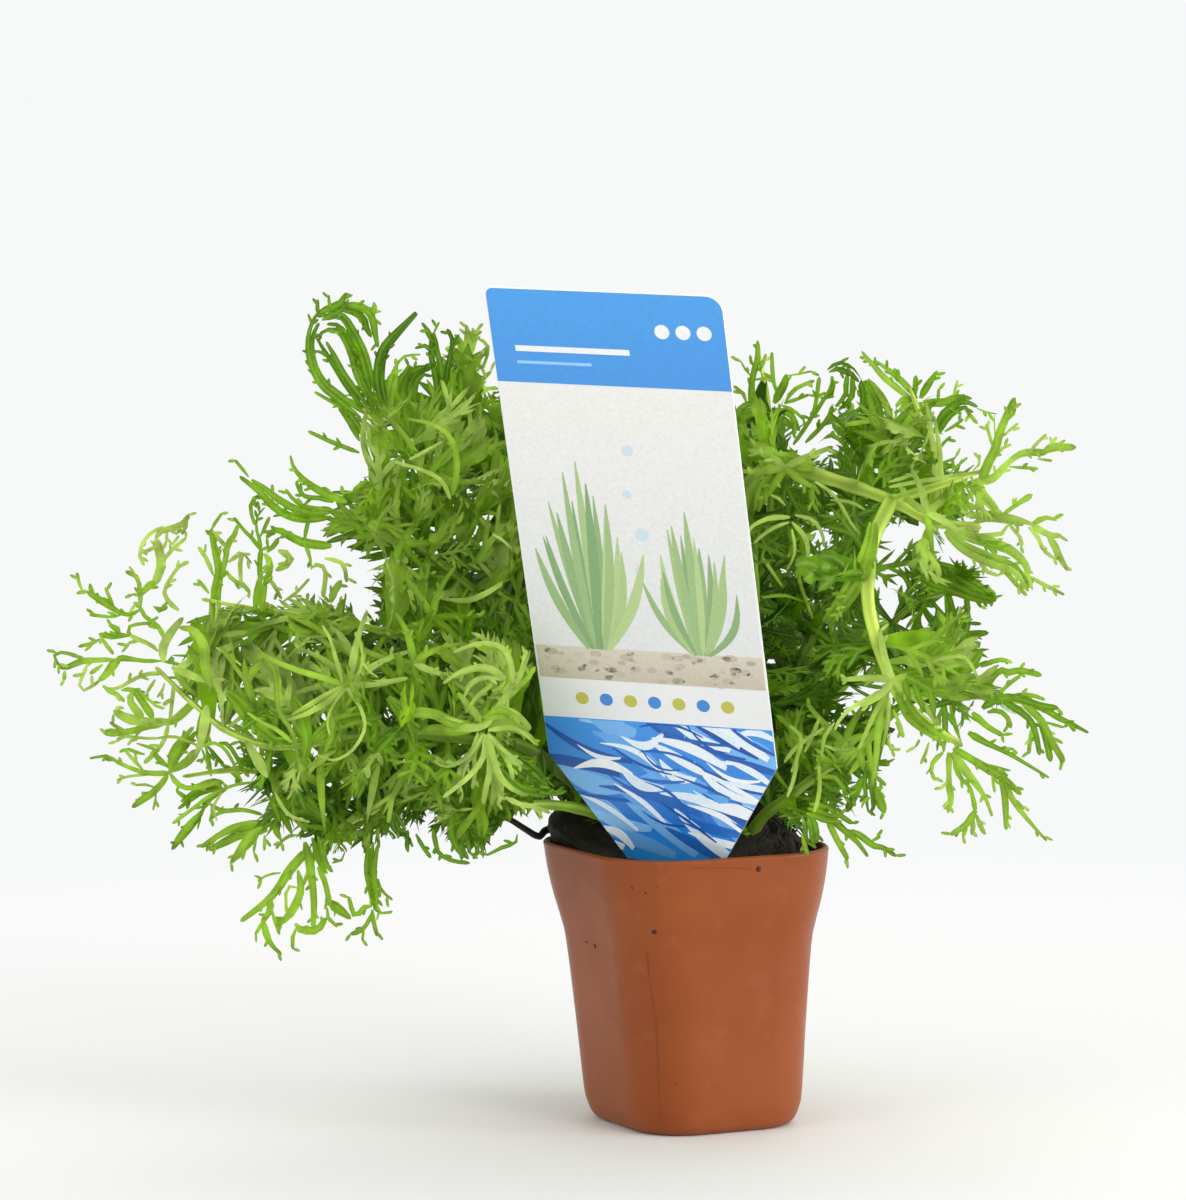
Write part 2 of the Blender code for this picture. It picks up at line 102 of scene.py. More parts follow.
# Each stem: its radius at the foot and the tip, and the points of its route, in millimetres.
STEMS = {
    "left_long": (1.7, 1.0, [
        (-13, -3, 46), (-17, -4, 61), (-25, -9, 70), (-34, -15, 77), (-44, -23, 79.5), (-57, -27, 81),
        (-70, -29, 80), (-82, -27, 78.5), (-91, -25, 81), (-98, -22, 86), (-105, -20, 92.5)]),
    "left_low": (1.6, 1.0, [
        (-15, 2, 46), (-18, 3, 60), (-26, 2, 66), (-37, 0, 69), (-51, -3, 70), (-66, -7, 70),
        (-80, -11, 71), (-91, -13, 72), (-100, -14, 71)]),
    "left_droop": (1.3, 0.9, [
        (-51, -3, 70), (-59, -9, 66), (-68, -13, 62), (-74, -15, 57), (-77, -15, 50)]),
    "left_front": (1.3, 0.9, [
        (-9, -8, 46), (-14, -10, 59), (-22, -12, 64), (-33, -19, 66), (-46, -28, 66)]),
    "left_star": (1.3, 0.9, [
        (-38, -18.5, 78), (-37.5, -24, 83.5), (-37, -29, 89.5)]),
    "left_mid": (1.6, 0.9, [
        (-9, 4, 46), (-14, 6, 64), (-24, 4, 78), (-36, -1, 87), (-48, -6, 94), (-61, -10, 99),
        (-74, -13, 102), (-86, -15, 104), (-96, -16, 106)]),
    "left_upper_low": (1.6, 0.9, [
        (-13, 10, 46), (-15, 14, 64), (-23, 15, 81), (-35, 12, 97), (-49, 6, 110), (-59, 1, 118),
        (-70, -3, 122)]),
    "left_upper": (1.7, 1.0, [
        (-6, 12, 46), (-10, 20, 67), (-20, 24, 88), (-33, 23, 107), (-47, 18, 123), (-56, 13, 131),
        (-62, 10, 137), (-67, 8, 143)]),
    "left_tall": (1.6, 0.9, [
        (-2, 7, 46), (-6, 20, 70), (-16, 32, 91), (-30, 38, 112), (-41, 38, 130), (-46, 36, 142),
        (-46, 34, 155)]),
    "left_back": (1.6, 0.9, [
        (-8, 18, 46), (-12, 23, 62), (-21, 40, 73), (-35, 50, 80), (-52, 53, 85), (-68, 52, 89)]),
    "right_thick": (2.1, 1.5, [
        (7, 3, 46), (9, 8, 67), (11, 6, 88), (11, 0, 108), (10, -8, 124), (15, -14, 132),
        (26, -19, 130), (38, -22, 126), (46, -23, 122), (54, -24, 121)]),
    "right_out": (1.2, 0.9, [(38, -22, 126), (47, -25, 129), (55, -26, 132)]),
    "right_rise": (1.4, 0.9, [(46, -23, 122), (47, -20, 131), (45, -18, 139), (42, -17, 147)]),
    "right_vertical": (1.5, 0.9, [
        (4, 10, 46), (7, 20, 66), (12, 26, 88), (15, 24, 110), (16, 20, 129), (15, 17, 143),
        (13, 15, 153)]),
    "right_top": (1.6, 0.9, [
        (9, 9, 46), (14, 17, 68), (21, 20, 88), (29, 18, 107), (34, 14, 123), (36, 10, 136),
        (34, 8, 145)]),
    "right_down": (1.7, 1.1, [
        (38, -22, 126), (34, -28, 118), (33, -32, 108), (35, -32, 99), (39, -29, 89), (45, -28, 83),
        (51, -27, 79)]),
    "right_side": (1.2, 0.9, [(39, -29, 89), (48, -25, 89), (57, -23, 88)]),
    "right_low": (1.4, 0.9, [
        (8, -5, 46), (12, -8, 60), (20, -14, 68), (28, -19, 74), (34, -22, 74)]),
    "right_mid": (1.5, 0.9, [
        (13, 10, 46), (15, 14, 58), (19, 22, 68), (27, 29, 79), (36, 28, 91), (44, 22, 101),
        (53, 18, 105)]),
    "back_left": (1.5, 0.9, [
        (-2, 18, 46), (-4, 26, 64), (-10, 50, 76), (-21, 64, 90), (-27, 70, 106)]),
    "back_right": (1.5, 0.9, [
        (6, 15, 46), (7, 25, 63), (10, 48, 77), (18, 60, 91), (23, 64, 106)]),
    "back_low": (1.4, 0.9, [
        (3, 19, 46), (2, 25, 60), (0, 42, 66), (0, 58, 63), (-2, 70, 57)]),
}

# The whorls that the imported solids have: the stem, the place along it and the leaves' reach.
WHORLS = [
    ("left_long", 0.66, 20), ("left_long", 0.86, 21), ("left_long", 1.0, 23),
    ("left_low", 0.70, 18), ("left_low", 0.86, 19), ("left_low", 1.0, 18),
    ("left_droop", 0.50, 16), ("left_droop", 1.0, 18),
    ("left_front", 1.0, 14),
    ("left_star", 1.0, 14),
    ("left_mid", 0.55, 18), ("left_mid", 0.77, 19), ("left_mid", 1.0, 20),
    ("left_upper_low", 0.80, 19), ("left_upper_low", 1.0, 21),
    ("left_upper", 0.78, 20), ("left_upper", 1.0, 22),
    ("left_tall", 0.82, 18), ("left_tall", 1.0, 10),
    ("left_back", 1.0, 20),
    ("right_thick", 0.58, 16), ("right_thick", 1.0, 21),
    ("right_out", 1.0, 20),
    ("right_rise", 1.0, 15),
    ("right_vertical", 1.0, 13),
    ("right_top", 0.72, 19), ("right_top", 1.0, 17),
    ("right_down", 1.0, 22),
    ("right_side", 1.0, 21),
    ("right_low", 1.0, 15),
    ("right_mid", 0.60, 18), ("right_mid", 1.0, 18),
    ("back_left", 1.0, 19), ("back_right", 1.0, 19), ("back_low", 1.0, 18),
]

# Where each stem's leaves begin along it, the spacing between its whorls in millimetres, and
# how young and pale its leaves are.
LEAFY = {
    "left_long": (0.26, 7.0, 0.72), "left_low": (0.26, 7.0, 0.62), "left_droop": (0.2, 6.5, 0.60),
    "left_front": (0.35, 7.0, 0.32), "left_star": (0.6, 7.0, 0.85), "left_mid": (0.26, 7.0, 0.66),
    "left_upper_low": (0.30, 7.0, 0.70), "left_upper": (0.30, 7.0, 0.68), "left_tall": (0.30, 7.5, 0.64),
    "left_back": (0.35, 9.0, 0.42), "right_thick": (0.16, 8.0, 0.50), "right_out": (0.8, 9.0, 0.80),
    "right_rise": (0.40, 8.0, 0.78), "right_vertical": (0.22, 7.5, 0.70), "right_top": (0.22, 7.5, 0.76),
    "right_down": (0.30, 12.0, 0.55), "right_side": (0.6, 8.0, 0.60), "right_low": (0.3, 7.0, 0.42),
    "right_mid": (0.22, 7.5, 0.60), "back_left": (0.3, 9.0, 0.45), "back_right": (0.3, 9.0, 0.45),
    "back_low": (0.3, 9.0, 0.40),
}

# The dense part of the foliage as the camera sees it, in millimetres on the plane y = 0. The
# leaves that are set by chance stay inside it, and out of the gaps: centre and half sizes.
OUTLINE = [
    (-106, 93), (-105.5, 97), (-103, 99), (-102.5, 102.5), (-98, 103), (-90, 102.8), (-88, 103.5),
    (-86, 106), (-84.6, 104.5), (-77.5, 106), (-75, 104), (-72, 104.6), (-66, 103), (-63, 106),
    (-64, 112), (-68, 114.5), (-73.5, 118.6), (-75, 121), (-73, 123), (-71, 125.5), (-65.5, 128),
    (-67, 134), (-69, 140), (-70, 144), (-67, 148), (-64, 150), (-61, 150), (-60.5, 146), (-58.6, 147),
    (-57, 150.6), (-52, 151),
    (-49, 154), (-47.6, 157), (-45, 159), (-43, 156), (-42, 151), (-41.5, 147), (-38, 145),
    (-20, 143), (8, 143), (10, 144.5), (12, 146), (17, 145), (18.5, 141), (20, 138.5), (18, 135),
    (22, 133), (27, 132.5), (26.5, 136), (27, 141), (29, 144), (28.5, 149), (31, 150), (33, 147.5),
    (36, 144.5), (38.5, 140.5), (40.5, 141), (41.5, 144.5), (44.5, 146), (47.5, 143), (48.5, 138),
    (49.5, 130), (54, 130.5), (57, 129), (58.5, 124), (60, 120), (54.5, 117.5), (62, 115.5),
    (65, 113), (67, 109), (62, 110), (57, 113), (57, 106.5), (59.5, 104.4), (55, 105), (53.5, 98),
    (57, 96), (56, 93.5), (64, 90.5), (60, 88.5), (60.5, 86.5), (66, 84), (66.5, 81.5), (63, 82.5),
    (57.5, 80), (54, 75), (54, 72), (48, 74.5), (45, 77.5), (39, 80), (36.5, 69), (37, 66),
    (35.5, 63), (34, 66), (31, 64.5), (30, 61.5), (26, 59), (25, 55), (22, 57), (15, 58), (8, 56),
    (0, 56), (-20, 58), (-28, 62), (-30, 63), (-36.5, 61), (-39.5, 57), (-45, 52), (-48, 53),
    (-52, 59), (-62, 56), (-66, 53.6), (-72.5, 52.5), (-77.5, 54), (-79, 57), (-87, 54.6),
    (-92, 54.5), (-96, 57), (-86, 60), (-89, 62), (-95, 66), (-90, 69), (-93, 71), (-91, 75),
    (-86.5, 75.5), (-88.5, 78), (-97, 82), (-100, 85), (-103, 88),
]
GAPS = [
    (38, 116.5, 2.2, 3.6), (44, 118, 2.2, 2.0), (51, 114, 3.0, 2.4), (39.5, 110.5, 1.6, 1.6),
    (39, 101.5, 2.2, 4.6), (45.5, 99.2, 1.6, 1.3), (50.5, 103.5, 3.6, 1.5), (35, 129.5, 2.0, 1.5),
    (15.5, 124, 1.6, 2.0), (24, 117, 2.0, 2.0), (32.5, 86.5, 2.0, 1.6), (32.5, 80.2, 1.2, 2.4),
    (44, 83, 3.0, 1.8), (-80, 79, 1.0, 2.0), (-53.5, 114.5, 1.0, 1.6), (-60.4, 100.6, 1.0, 1.0),
    (-39.5, 135.5, 1.0, 1.0), (-43.5, 117.5, 1.8, 1.6), (-83, 72.5, 1.3, 1.7), (-76.8, 74, 0.9, 1.6),
    (-73.2, 67, 1.6, 1.2), (-76.3, 63.5, 0.9, 0.9), (-87.5, 64, 1.1, 0.8), (-69, 69.2, 1.2, 0.7),
    (-79.3, 87.5, 1.2, 0.9), (-61, 101, 0.8, 1.2), (21, 94.5, 1.0, 1.2), (26.6, 82.4, 0.9, 1.6),
]

# Leaves whose shapes are given one by one, since they make the plant's outline or stand out in front. Each
# has: its whorl's piece, the depth at its foot and at its tips and its youth, then
# its blades. A blade has its widths from foot to tip, and its points as the camera sees them
# on the plane y = 0. All are in millimetres.
DRAWN = [
    ("left_long_3", -20, -26, 0.72, [
        [(1.1, 0.9, 0.8), (-105.2, 96.4), (-106.3, 98.9), (-108, 100.3), (-109.6, 101.7), (-110, 103.2)],
        [(1.0, 0.9, 1.1), (-110, 103.2), (-110.1, 105.5), (-110.4, 108.5), (-111.5, 109.6), (-113, 110.2)],
        [(0.5, 0.7), (-110.1, 105.3), (-111.6, 105.7)],
        [(0.5, 0.7), (-110, 103.8), (-111.5, 103.9)],
        [(0.9, 1.8), (-110, 105.2), (-108.9, 106.8), (-107.2, 108.2)],
        [(0.5, 1.4, 0.6), (-107.5, 103.2), (-105.9, 102.4), (-104.6, 103.2)]]),
    ("left_long_3", -19, -25, 0.95, [
        [(1.6, 2.0, 1.7), (-107.4, 107.2), (-106.4, 109.5), (-105.8, 112), (-106.3, 114.5), (-106.9, 116.8)],
        [(1.5, 1.3, 1.7, 0.8), (-106.9, 116.8), (-106, 118.2), (-103.5, 118.8), (-101.5, 119.6),
         (-100.2, 121.7)],
        [(0.7, 0.8, 0.7), (-105.4, 119.2), (-108, 117.7), (-109.6, 115.6), (-110.1, 113.3), (-109.2, 111.3)],
        [(0.9, 0.8), (-110, 113.8), (-108, 114.5), (-106.6, 115.4)],
        [(0.8, 0.6), (-104.6, 118.6), (-104.7, 116.4), (-103.4, 115.6), (-102.3, 117.4)],
        [(0.9, 0.6), (-100.6, 120.5), (-101, 118.8), (-101.8, 117.5)],
        [(0.9, 0.7), (-105.4, 112.2), (-104, 114.2), (-102.4, 115.6), (-100.8, 116.9)],
        [(1.2, 0.9, 0.7, 0.9), (-102.4, 102.4), (-104.3, 104), (-105.3, 106), (-104.5, 108),
         (-102.4, 111.1), (-100.3, 112.1)]]),
    ("left_long_3", -20, -28, 0.7, [
        [(0.8, 0.9, 1.5, 1.2), (-110, 102.6), (-111.5, 101.8), (-113.6, 101.7), (-117, 103.8),
         (-120.6, 106.2)],
        [(1.3, 0.7), (-119.3, 105.3), (-119.8, 106.4), (-120.1, 107.8)],
        [(1.1, 0.9, 0.7), (-120.4, 106.1), (-121.6, 106.1), (-122.8, 105.8)],
        [(0.8, 0.7), (-121.5, 106.2), (-122.2, 107.9), (-122.6, 110)],
        [(0.9, 0.6), (-115.2, 102.8), (-116, 104.6), (-117, 107)],
        [(0.6, 0.9), (-113.6, 101.6), (-116, 101.1), (-120.2, 101.6)],
        [(0.8, 0.9, 1.1), (-106.5, 94.2), (-108.2, 95.6), (-110.5, 96.6), (-112.2, 97.4)],
        [(0.9, 0.7, 0.7), (-111.6, 96.9), (-112.7, 98.7), (-111, 99.6), (-107.4, 99.9)],
        [(1.1, 1.4, 1.0), (-112.2, 97.4), (-114.2, 97.4), (-116.4, 97.2), (-118.4, 97.7)],
        [(1.6, 1.3, 0.7), (-114.2, 97.5), (-115, 99), (-116.4, 99.4)],
        [(0.9, 0.8), (-118.2, 97.6), (-117.4, 96.2), (-115.4, 93.6)],
        [(1.0, 0.9, 0.7), (-118.2, 96.6), (-119.6, 95.8), (-122.5, 95.2)],
        [(0.8, 0.6), (-112, 96.3), (-112.9, 95.1), (-113.8, 94)]]),
    ("left_long_3", -21, -29, 0.82, [
        [(0.9, 0.9, 1.6), (-106.2, 92.3), (-109, 92.3), (-111.5, 92.6), (-113.6, 92.9), (-115, 92.7)],
        [(1.9, 2.1, 1.7, 1.1), (-114.2, 92.8), (-115.6, 91.6), (-116.4, 90.2), (-118.5, 88.1)],
        [(1.1, 1.2, 1.5, 1.0), (-115.4, 92.6), (-118, 92.5), (-120.4, 92.4), (-122, 92.2), (-125.4, 90.7)],
        [(0.9, 0.7, 0.7), (-121.6, 92.7), (-124, 93.7), (-126.4, 94), (-127.3, 93), (-126.2, 91.3),
         (-125.3, 90.6)],
        [(0.7, 0.9), (-125.2, 90.4), (-125.3, 88.3)],
        [(0.9, 0.6, 0.7), (-120.6, 91.8), (-121.2, 90.2), (-122.3, 87.6), (-121.4, 86.4), (-118.3, 88.3)],
        [(0.7, 1.0), (-117.6, 91.6), (-120.2, 89.7)],
        [(1.2, 1.0, 0.7), (-117.6, 87.4), (-115.8, 85.9), (-114.2, 85.4), (-113.4, 84)],
        [(0.7, 0.9), (-116.6, 86.9), (-114.6, 86.8), (-112.6, 88), (-109.2, 89.6), (-106, 89.8)],
        [(0.8, 0.6), (-107.2, 88.6), (-108.2, 87), (-108.9, 86)],
        [(0.8, 0.5), (-105.3, 87.9), (-105.9, 86.2), (-106.9, 85)],
        [(0.9, 0.7), (-103.4, 88.2), (-103.7, 85.6), (-104.3, 80.4)],
        [(0.8, 1.4, 1.8), (-114, 86.4), (-111.8, 86.6), (-110.4, 85), (-107.6, 80.9)],
        [(1.2, 1.9), (-111.6, 86.3), (-112.2, 84.2), (-109.6, 80.8)],
        [(0.8, 0.6), (-110.6, 86.4), (-108.8, 84.8), (-106.6, 83), (-105.3, 82.9)]]),
    ("left_low_3", -14, -22, 0.8, [
        [(1.6, 1.8, 1.3), (-98.6, 85), (-101.6, 82), (-103.8, 80.3), (-106, 79.9)],
        [(1.9, 1.7, 2.2, 1.3), (-104.4, 80.2), (-107.4, 80.1), (-110.6, 80.3), (-113, 80.9), (-115.6, 82.4)],
        [(0.8, 0.7), (-115.3, 82.3), (-114.6, 83), (-113.4, 82.8)],
        [(1.6, 1.4, 1.3, 2.0), (-105.6, 79.7), (-108.6, 79.3), (-111.4, 78.4), (-114, 78), (-117.7, 78)],
        [(1.0, 0.7), (-112.8, 78.2), (-114.6, 78.9), (-116.4, 80.1)],
        [(0.6, 0.6, 0.9), (-106, 76.9), (-109, 76.8), (-113.6, 77.2), (-115, 76.1)],
        [(1.0, 0.9, 1.1), (-104.6, 79.8), (-105, 78), (-105.6, 76.2), (-107.6, 73.6), (-109.6, 71.8)],
        [(1.3, 1.0, 0.8, 0.5), (-104.4, 69.9), (-108, 69.8), (-111, 70.4), (-115.2, 72.2), (-116.6, 73.3),
         (-120.4, 72.8)],
        [(0.9, 0.7), (-109.8, 70.6), (-111.6, 72.4), (-113.4, 74.6)],
        [(0.8, 0.8), (-109.4, 73.6), (-111, 74), (-113, 74.8)],
        [(0.7, 0.7), (-111, 75.8), (-109.6, 75.4), (-106.4, 74.2)],
        [(1.4, 3.0, 1.8), (-104, 70.4), (-103.4, 73.4), (-101.6, 76.2), (-99.4, 79)],
        [(1.2, 2.0, 1.2), (-103.6, 71), (-101, 72), (-99.4, 74.6)],
        [(1.0, 1.5, 1.0), (-104.6, 71), (-106.4, 72.4), (-107.6, 74)],
        [(0.6, 0.5), (-108, 69.6), (-111, 69.4), (-113, 69.1), (-115, 68.4)],
        [(1.1, 1.1, 1.7, 0.8), (-104.8, 69.2), (-106.4, 67.2), (-107.6, 66), (-109.6, 64.8), (-112, 62.9)],
        [(0.7, 0.5), (-107.4, 67), (-109.6, 67.6), (-111.6, 67.4)],
        [(0.7, 0.6), (-107.2, 65.6), (-107.4, 63.8), (-107.9, 62.4)],
        [(1.2, 1.0, 1.2, 0.9), (-104.2, 69.6), (-102.8, 67.6), (-100, 66.8), (-96, 68.3), (-93.6, 67.8)]]),
    ("left_low_2", -12, -18, 0.62, [
        [(1.0, 2.0, 2.4, 0.8), (-94, 67.4), (-98.4, 66.4), (-100.6, 64.6), (-102.9, 62.7)],
        [(1.2, 0.8), (-100.4, 64.6), (-102.4, 65.6), (-103.2, 66.6)],
        [(0.7, 0.6), (-99.4, 63.2), (-101.8, 61.2), (-104, 59.7)],
        [(0.9, 1.4, 1.7, 0.8), (-97.6, 62.8), (-99, 60.8), (-100.6, 58.8), (-102.4, 56.8), (-104.1, 54.4)],
        [(0.7, 0.5), (-98.2, 61.8), (-98.6, 60), (-99, 58.5)],
        [(1.1, 0.8, 1.3), (-92.6, 67.2), (-95, 65.6), (-96.4, 64.6), (-98, 62.6)],
        [(0.7, 0.7), (-96.2, 63), (-96, 61.4), (-96.6, 60.1)],
        [(0.7, 0.8), (-96.4, 60.4), (-94.8, 61.8), (-90.6, 62.6)],
        [(1.3, 1.3, 1.1), (-94.2, 71.6), (-92.4, 70.6), (-90, 68)],
        [(0.9, 0.9), (-94.6, 76), (-93.4, 75.9), (-92, 74.6), (-90, 71), (-88.6, 69)],
        [(1.1, 0.8), (-87.4, 74.2), (-89.4, 75.4), (-90.7, 76.4)],
        [(2.4, 2.8, 2.2, 1.2), (-97.4, 83), (-97.8, 79.4), (-97.8, 76.6), (-97.2, 74.6)],
        [(0.9, 0.7), (-97.2, 75), (-96.7, 73), (-96.2, 69.2)],
        [(0.9, 0.8), (-96.8, 75.2), (-95.2, 73.2), (-93.6, 71.4)],
        [(0.7, 0.6), (-98, 74.8), (-97.4, 73), (-98.3, 71.7)],
        [(1.1, 1.0), (-94.4, 81.4), (-92.4, 79.8), (-90, 78.6), (-88.4, 77.4), (-87, 75)],
        [(1.8, 1.8, 1.3, 0.8), (-84, 59.6), (-89, 59.4), (-92.6, 58.4), (-95.6, 56.8), (-98.3, 54.9)],
        [(1.5, 1.9, 1.9, 1.0), (-85, 58.4), (-90, 57.6), (-93.6, 56), (-96.7, 54.3)],
        [(1.4, 1.8, 1.3, 0.8), (-86.6, 58), (-89, 55.6), (-90.6, 53.8), (-92.5, 51.7)],
        [(0.8, 0.7), (-89.4, 54.8), (-89.9, 53.4), (-90, 52.4)],
        [(0.9, 0.6), (-87.2, 57.4), (-87.6, 55.4), (-87.8, 53.9)],
        [(0.9, 0.6), (-85.6, 57.4), (-85.6, 56), (-85.7, 54.2)],
        [(0.9, 0.7, 0.6), (-79, 57.4), (-81.4, 57), (-82.4, 55.8), (-83.4, 54.6)]]),
    ("left_droop_2", -16, -22, 0.68, [
        [(1.9, 2.1, 1.7, 1.3, 1.0), (-77, 54.4), (-80.4, 50.6), (-83, 46.6), (-85.6, 43.8), (-90.5, 40)],
        [(0.6, 0.5), (-82.4, 49.8), (-85, 49.4), (-87.1, 48.1)],
        [(1.8, 1.3, 1.0), (-84.6, 44.8), (-84.6, 42.2), (-86.3, 39.8)],
        [(0.9, 0.6), (-86, 40.2), (-86.8, 38.6), (-87.6, 37.3)],
        [(1.1, 1.5, 1.0, 0.8), (-86, 40.4), (-85.4, 37.6), (-84.4, 35.4), (-82.3, 33.3)],
        [(0.9, 0.7), (-84.2, 42), (-83.4, 39.6), (-82.7, 37.3)],
        [(0.9, 1.6, 1.9, 0.9), (-79, 50.4), (-78.4, 46.8), (-79.2, 44), (-81, 41), (-83.4, 39)],
        [(0.7, 0.6), (-78.9, 46.8), (-81, 47), (-81.4, 45.6), (-81.3, 41.6)],
        [(1.4, 1.9, 1.5, 1.3, 1.0), (-77.6, 56), (-76.8, 52.8), (-76.2, 48.6), (-75.8, 43.6), (-76, 38.6)],
        [(1.1, 1.7, 1.6, 1.0), (-79.6, 39.6), (-78.6, 38.4), (-76.6, 38.2), (-75, 38.4), (-73.4, 40.8)],
        [(1.0, 0.8), (-79.4, 38.6), (-80.2, 36.4), (-80, 34.4)],
        [(2.6, 2.8, 1.6), (-75.8, 57), (-74.4, 52.8), (-72.3, 49.7)],
        [(1.4, 1.1, 1.2), (-75, 51), (-73.6, 48), (-72.6, 43)],
        [(1.3, 2.2, 1.7, 0.7), (-73, 44.4), (-71.6, 43), (-70, 41.8), (-68.4, 40.5)],
        [(1.1, 1.0, 0.7), (-73.2, 42.8), (-73.2, 41), (-71.1, 38.9)]]),
    ("left_droop_1", -14, -20, 0.55, [
        [(3.4, 2.6, 2.0, 1.3), (-64, 56), (-64.4, 50.6), (-63.8, 46.2), (-63.6, 42.2)],
        [(0.8, 0.5), (-63, 48.6), (-62.4, 46.4), (-60.1, 44.3)],
        [(0.8, 0.6), (-63.4, 43.6), (-62.6, 41.8), (-61.5, 41.4), (-60.1, 42.1)],
        [(1.1, 1.2, 0.8), (-64.2, 43.2), (-65.6, 43), (-67.4, 41), (-68.2, 42.4), (-68.9, 45.1)],
        [(1.1, 0.8), (-64.2, 42.4), (-64, 40.4), (-63.2, 37)],
        [(1.1, 0.9, 1.2, 1.6), (-64, 42), (-65.2, 39.6), (-66.4, 38.2), (-68.7, 37.4)],
        [(0.7, 0.6), (-65.8, 39), (-66, 37.6), (-66.2, 36.1)],
        [(0.7, 0.6), (-69.6, 54), (-70.4, 52.2), (-72.2, 51.9)]]),
    ("left_front_1", -26, -30, 0.3, [
        [(0.8, 1.5), (-57, 58.4), (-57.2, 55.2), (-57, 53.9)],
        [(0.9, 0.8), (-55.4, 57.6), (-54, 55), (-52.4, 52.8)],
        [(1.1, 0.9, 1.1), (-52, 58.6), (-51.4, 55.4), (-50.6, 53.5), (-48, 52.2), (-44.6, 51.8)],
        [(2.4, 4.6, 4.0, 1.6), (-47.6, 63), (-47.4, 58), (-46.2, 55), (-44.8, 52.6)],
        [(1.2, 2.6, 1.6), (-46.6, 60), (-43.4, 58.6), (-40, 57)],
        [(0.9, 0.8), (-44, 52.6), (-43.2, 54), (-43, 56.6)],
        [(1.4, 3.4, 2.4), (-60, 62), (-59, 58.6), (-56.6, 58)],
        [(0.5, 0.9, 0.5), (-35.2, 57.6), (-35.6, 55.8), (-38, 55), (-39.6, 54.2), (-41.4, 53.3)]]),
    ("left_star_1", -31, -36, 0.92, [
        [(3.4, 3.8, 3.4), (-36.8, 88), (-39, 84.8), (-41.6, 81.4), (-42.6, 79)],
        [(1.7, 1.1, 1.0), (-42, 78), (-44, 74), (-46.4, 70.4), (-49.6, 65.2)],
        [(0.9, 0.7), (-46.6, 70), (-46.8, 67.6), (-46, 65.6)],
        [(1.5, 1.1, 0.9), (-42, 77.6), (-40.4, 73.4), (-39.4, 70), (-38, 65)],
        [(1.2, 0.9), (-41, 78), (-38.6, 74.6), (-36.8, 71.6), (-36, 68.4)],
        [(1.1, 0.9), (-38.8, 74.8), (-37.4, 73), (-34.6, 71.4)],
        [(1.4, 1.1, 0.8), (-41, 78.8), (-37, 78.7), (-33.6, 77.6), (-31, 75.3)],
        [(2.0, 4.6, 3.6, 1.2), (-41.4, 79.6), (-38.4, 80.8), (-35.4, 80), (-32.6, 78.4)],
        [(2.8, 2.4, 1.8, 1.4), (-43, 79.2), (-48, 80), (-52, 81.6), (-56, 81.8), (-59.6, 80.8)],
        [(2.0, 2.2, 1.4), (-43.4, 79), (-47.6, 78.4), (-51.6, 78.8), (-54.4, 78.4)],
        [(1.0, 0.8), (-43, 77.4), (-43.8, 73), (-43.6, 70), (-44.2, 66.6)],
        [(1.0, 0.9), (-42.8, 76.6), (-45, 73.4), (-47.4, 71.7), (-49.6, 71.6), (-51.6, 73.2)],
        [(2.6, 2.6, 2.0), (-39.6, 71), (-39.4, 66), (-39.6, 63.2)],
        [(1.1, 0.9, 0.7), (-37.6, 65), (-34.6, 63.6), (-31.4, 63), (-28.6, 61.8)],
        [(1.5, 1.3, 1.0), (-36.8, 88), (-36.6, 91), (-37, 93.6), (-39, 95), (-43, 94.6)],
        [(1.3, 1.1, 1.0), (-35.4, 87.8), (-34, 91), (-33.4, 94.6)],
        [(1.3, 1.0, 0.8), (-35.6, 87), (-33.4, 88.4), (-31.6, 91.2)],
        [(1.2, 1.0, 0.9), (-37.6, 88.6), (-40.4, 90.4), (-44, 90.6), (-47.6, 89.2)],
        [(1.0, 0.8), (-45.6, 86.6), (-43.6, 88.4), (-41, 89.1), (-37.8, 88.4)],
        [(0.9, 0.7), (-44.6, 82.6), (-42.6, 85.4), (-40.4, 87.8)]]),
    ("left_upper_low_2", -6, -14, 0.5, [
        [(1.8, 2.8, 3.2, 2.2, 1.0), (-72, 121.6), (-76, 121.2), (-80, 121.9), (-83.4, 123.9),
         (-86, 126.4), (-90.1, 129.3)],
        [(0.8, 0.6), (-88.4, 129), (-89.8, 130.8), (-91.1, 132.4)],
        [(1.1, 0.8, 0.7), (-85.8, 125.6), (-87.2, 124.8), (-88.1, 122.8), (-87.2, 119.4)],
        [(1.1, 0.9, 0.8), (-86, 113.6), (-86.4, 117), (-87, 119), (-86.5, 121.6), (-85.1, 122.9)],
        [(0.8, 0.9), (-86.2, 117), (-85.2, 119), (-84.3, 121.1)],
        [(1.0, 0.8, 0.7), (-86.1, 114.4), (-87.6, 116.6), (-89.4, 118.4), (-91.4, 121)],
        [(1.1, 1.1), (-86.2, 108), (-86.3, 111.6), (-86, 114.6)],
        [(1.0, 1.1), (-84.8, 114), (-83.2, 115.6), (-82.5, 116.9)],
        [(1.8, 2.1, 1.6, 1.0), (-72, 115.2), (-77, 115.8), (-80, 117), (-83, 118.6), (-85, 116.8)],
        [(1.1, 0.8), (-77.4, 116.4), (-77, 118.6), (-76.5, 120.6)],
        [(1.2, 1.0), (-77.4, 115.6), (-76.4, 113.4), (-76, 110.4)],
        [(1.1, 1.0, 0.7), (-71.6, 122.4), (-75, 122.7), (-77.6, 123.2), (-79.6, 124.6), (-81.1, 126.6)],
        [(1.1, 1.0, 0.7), (-71.6, 124), (-74.4, 124.8), (-77, 125), (-78.4, 126.4), (-79, 128.2)],
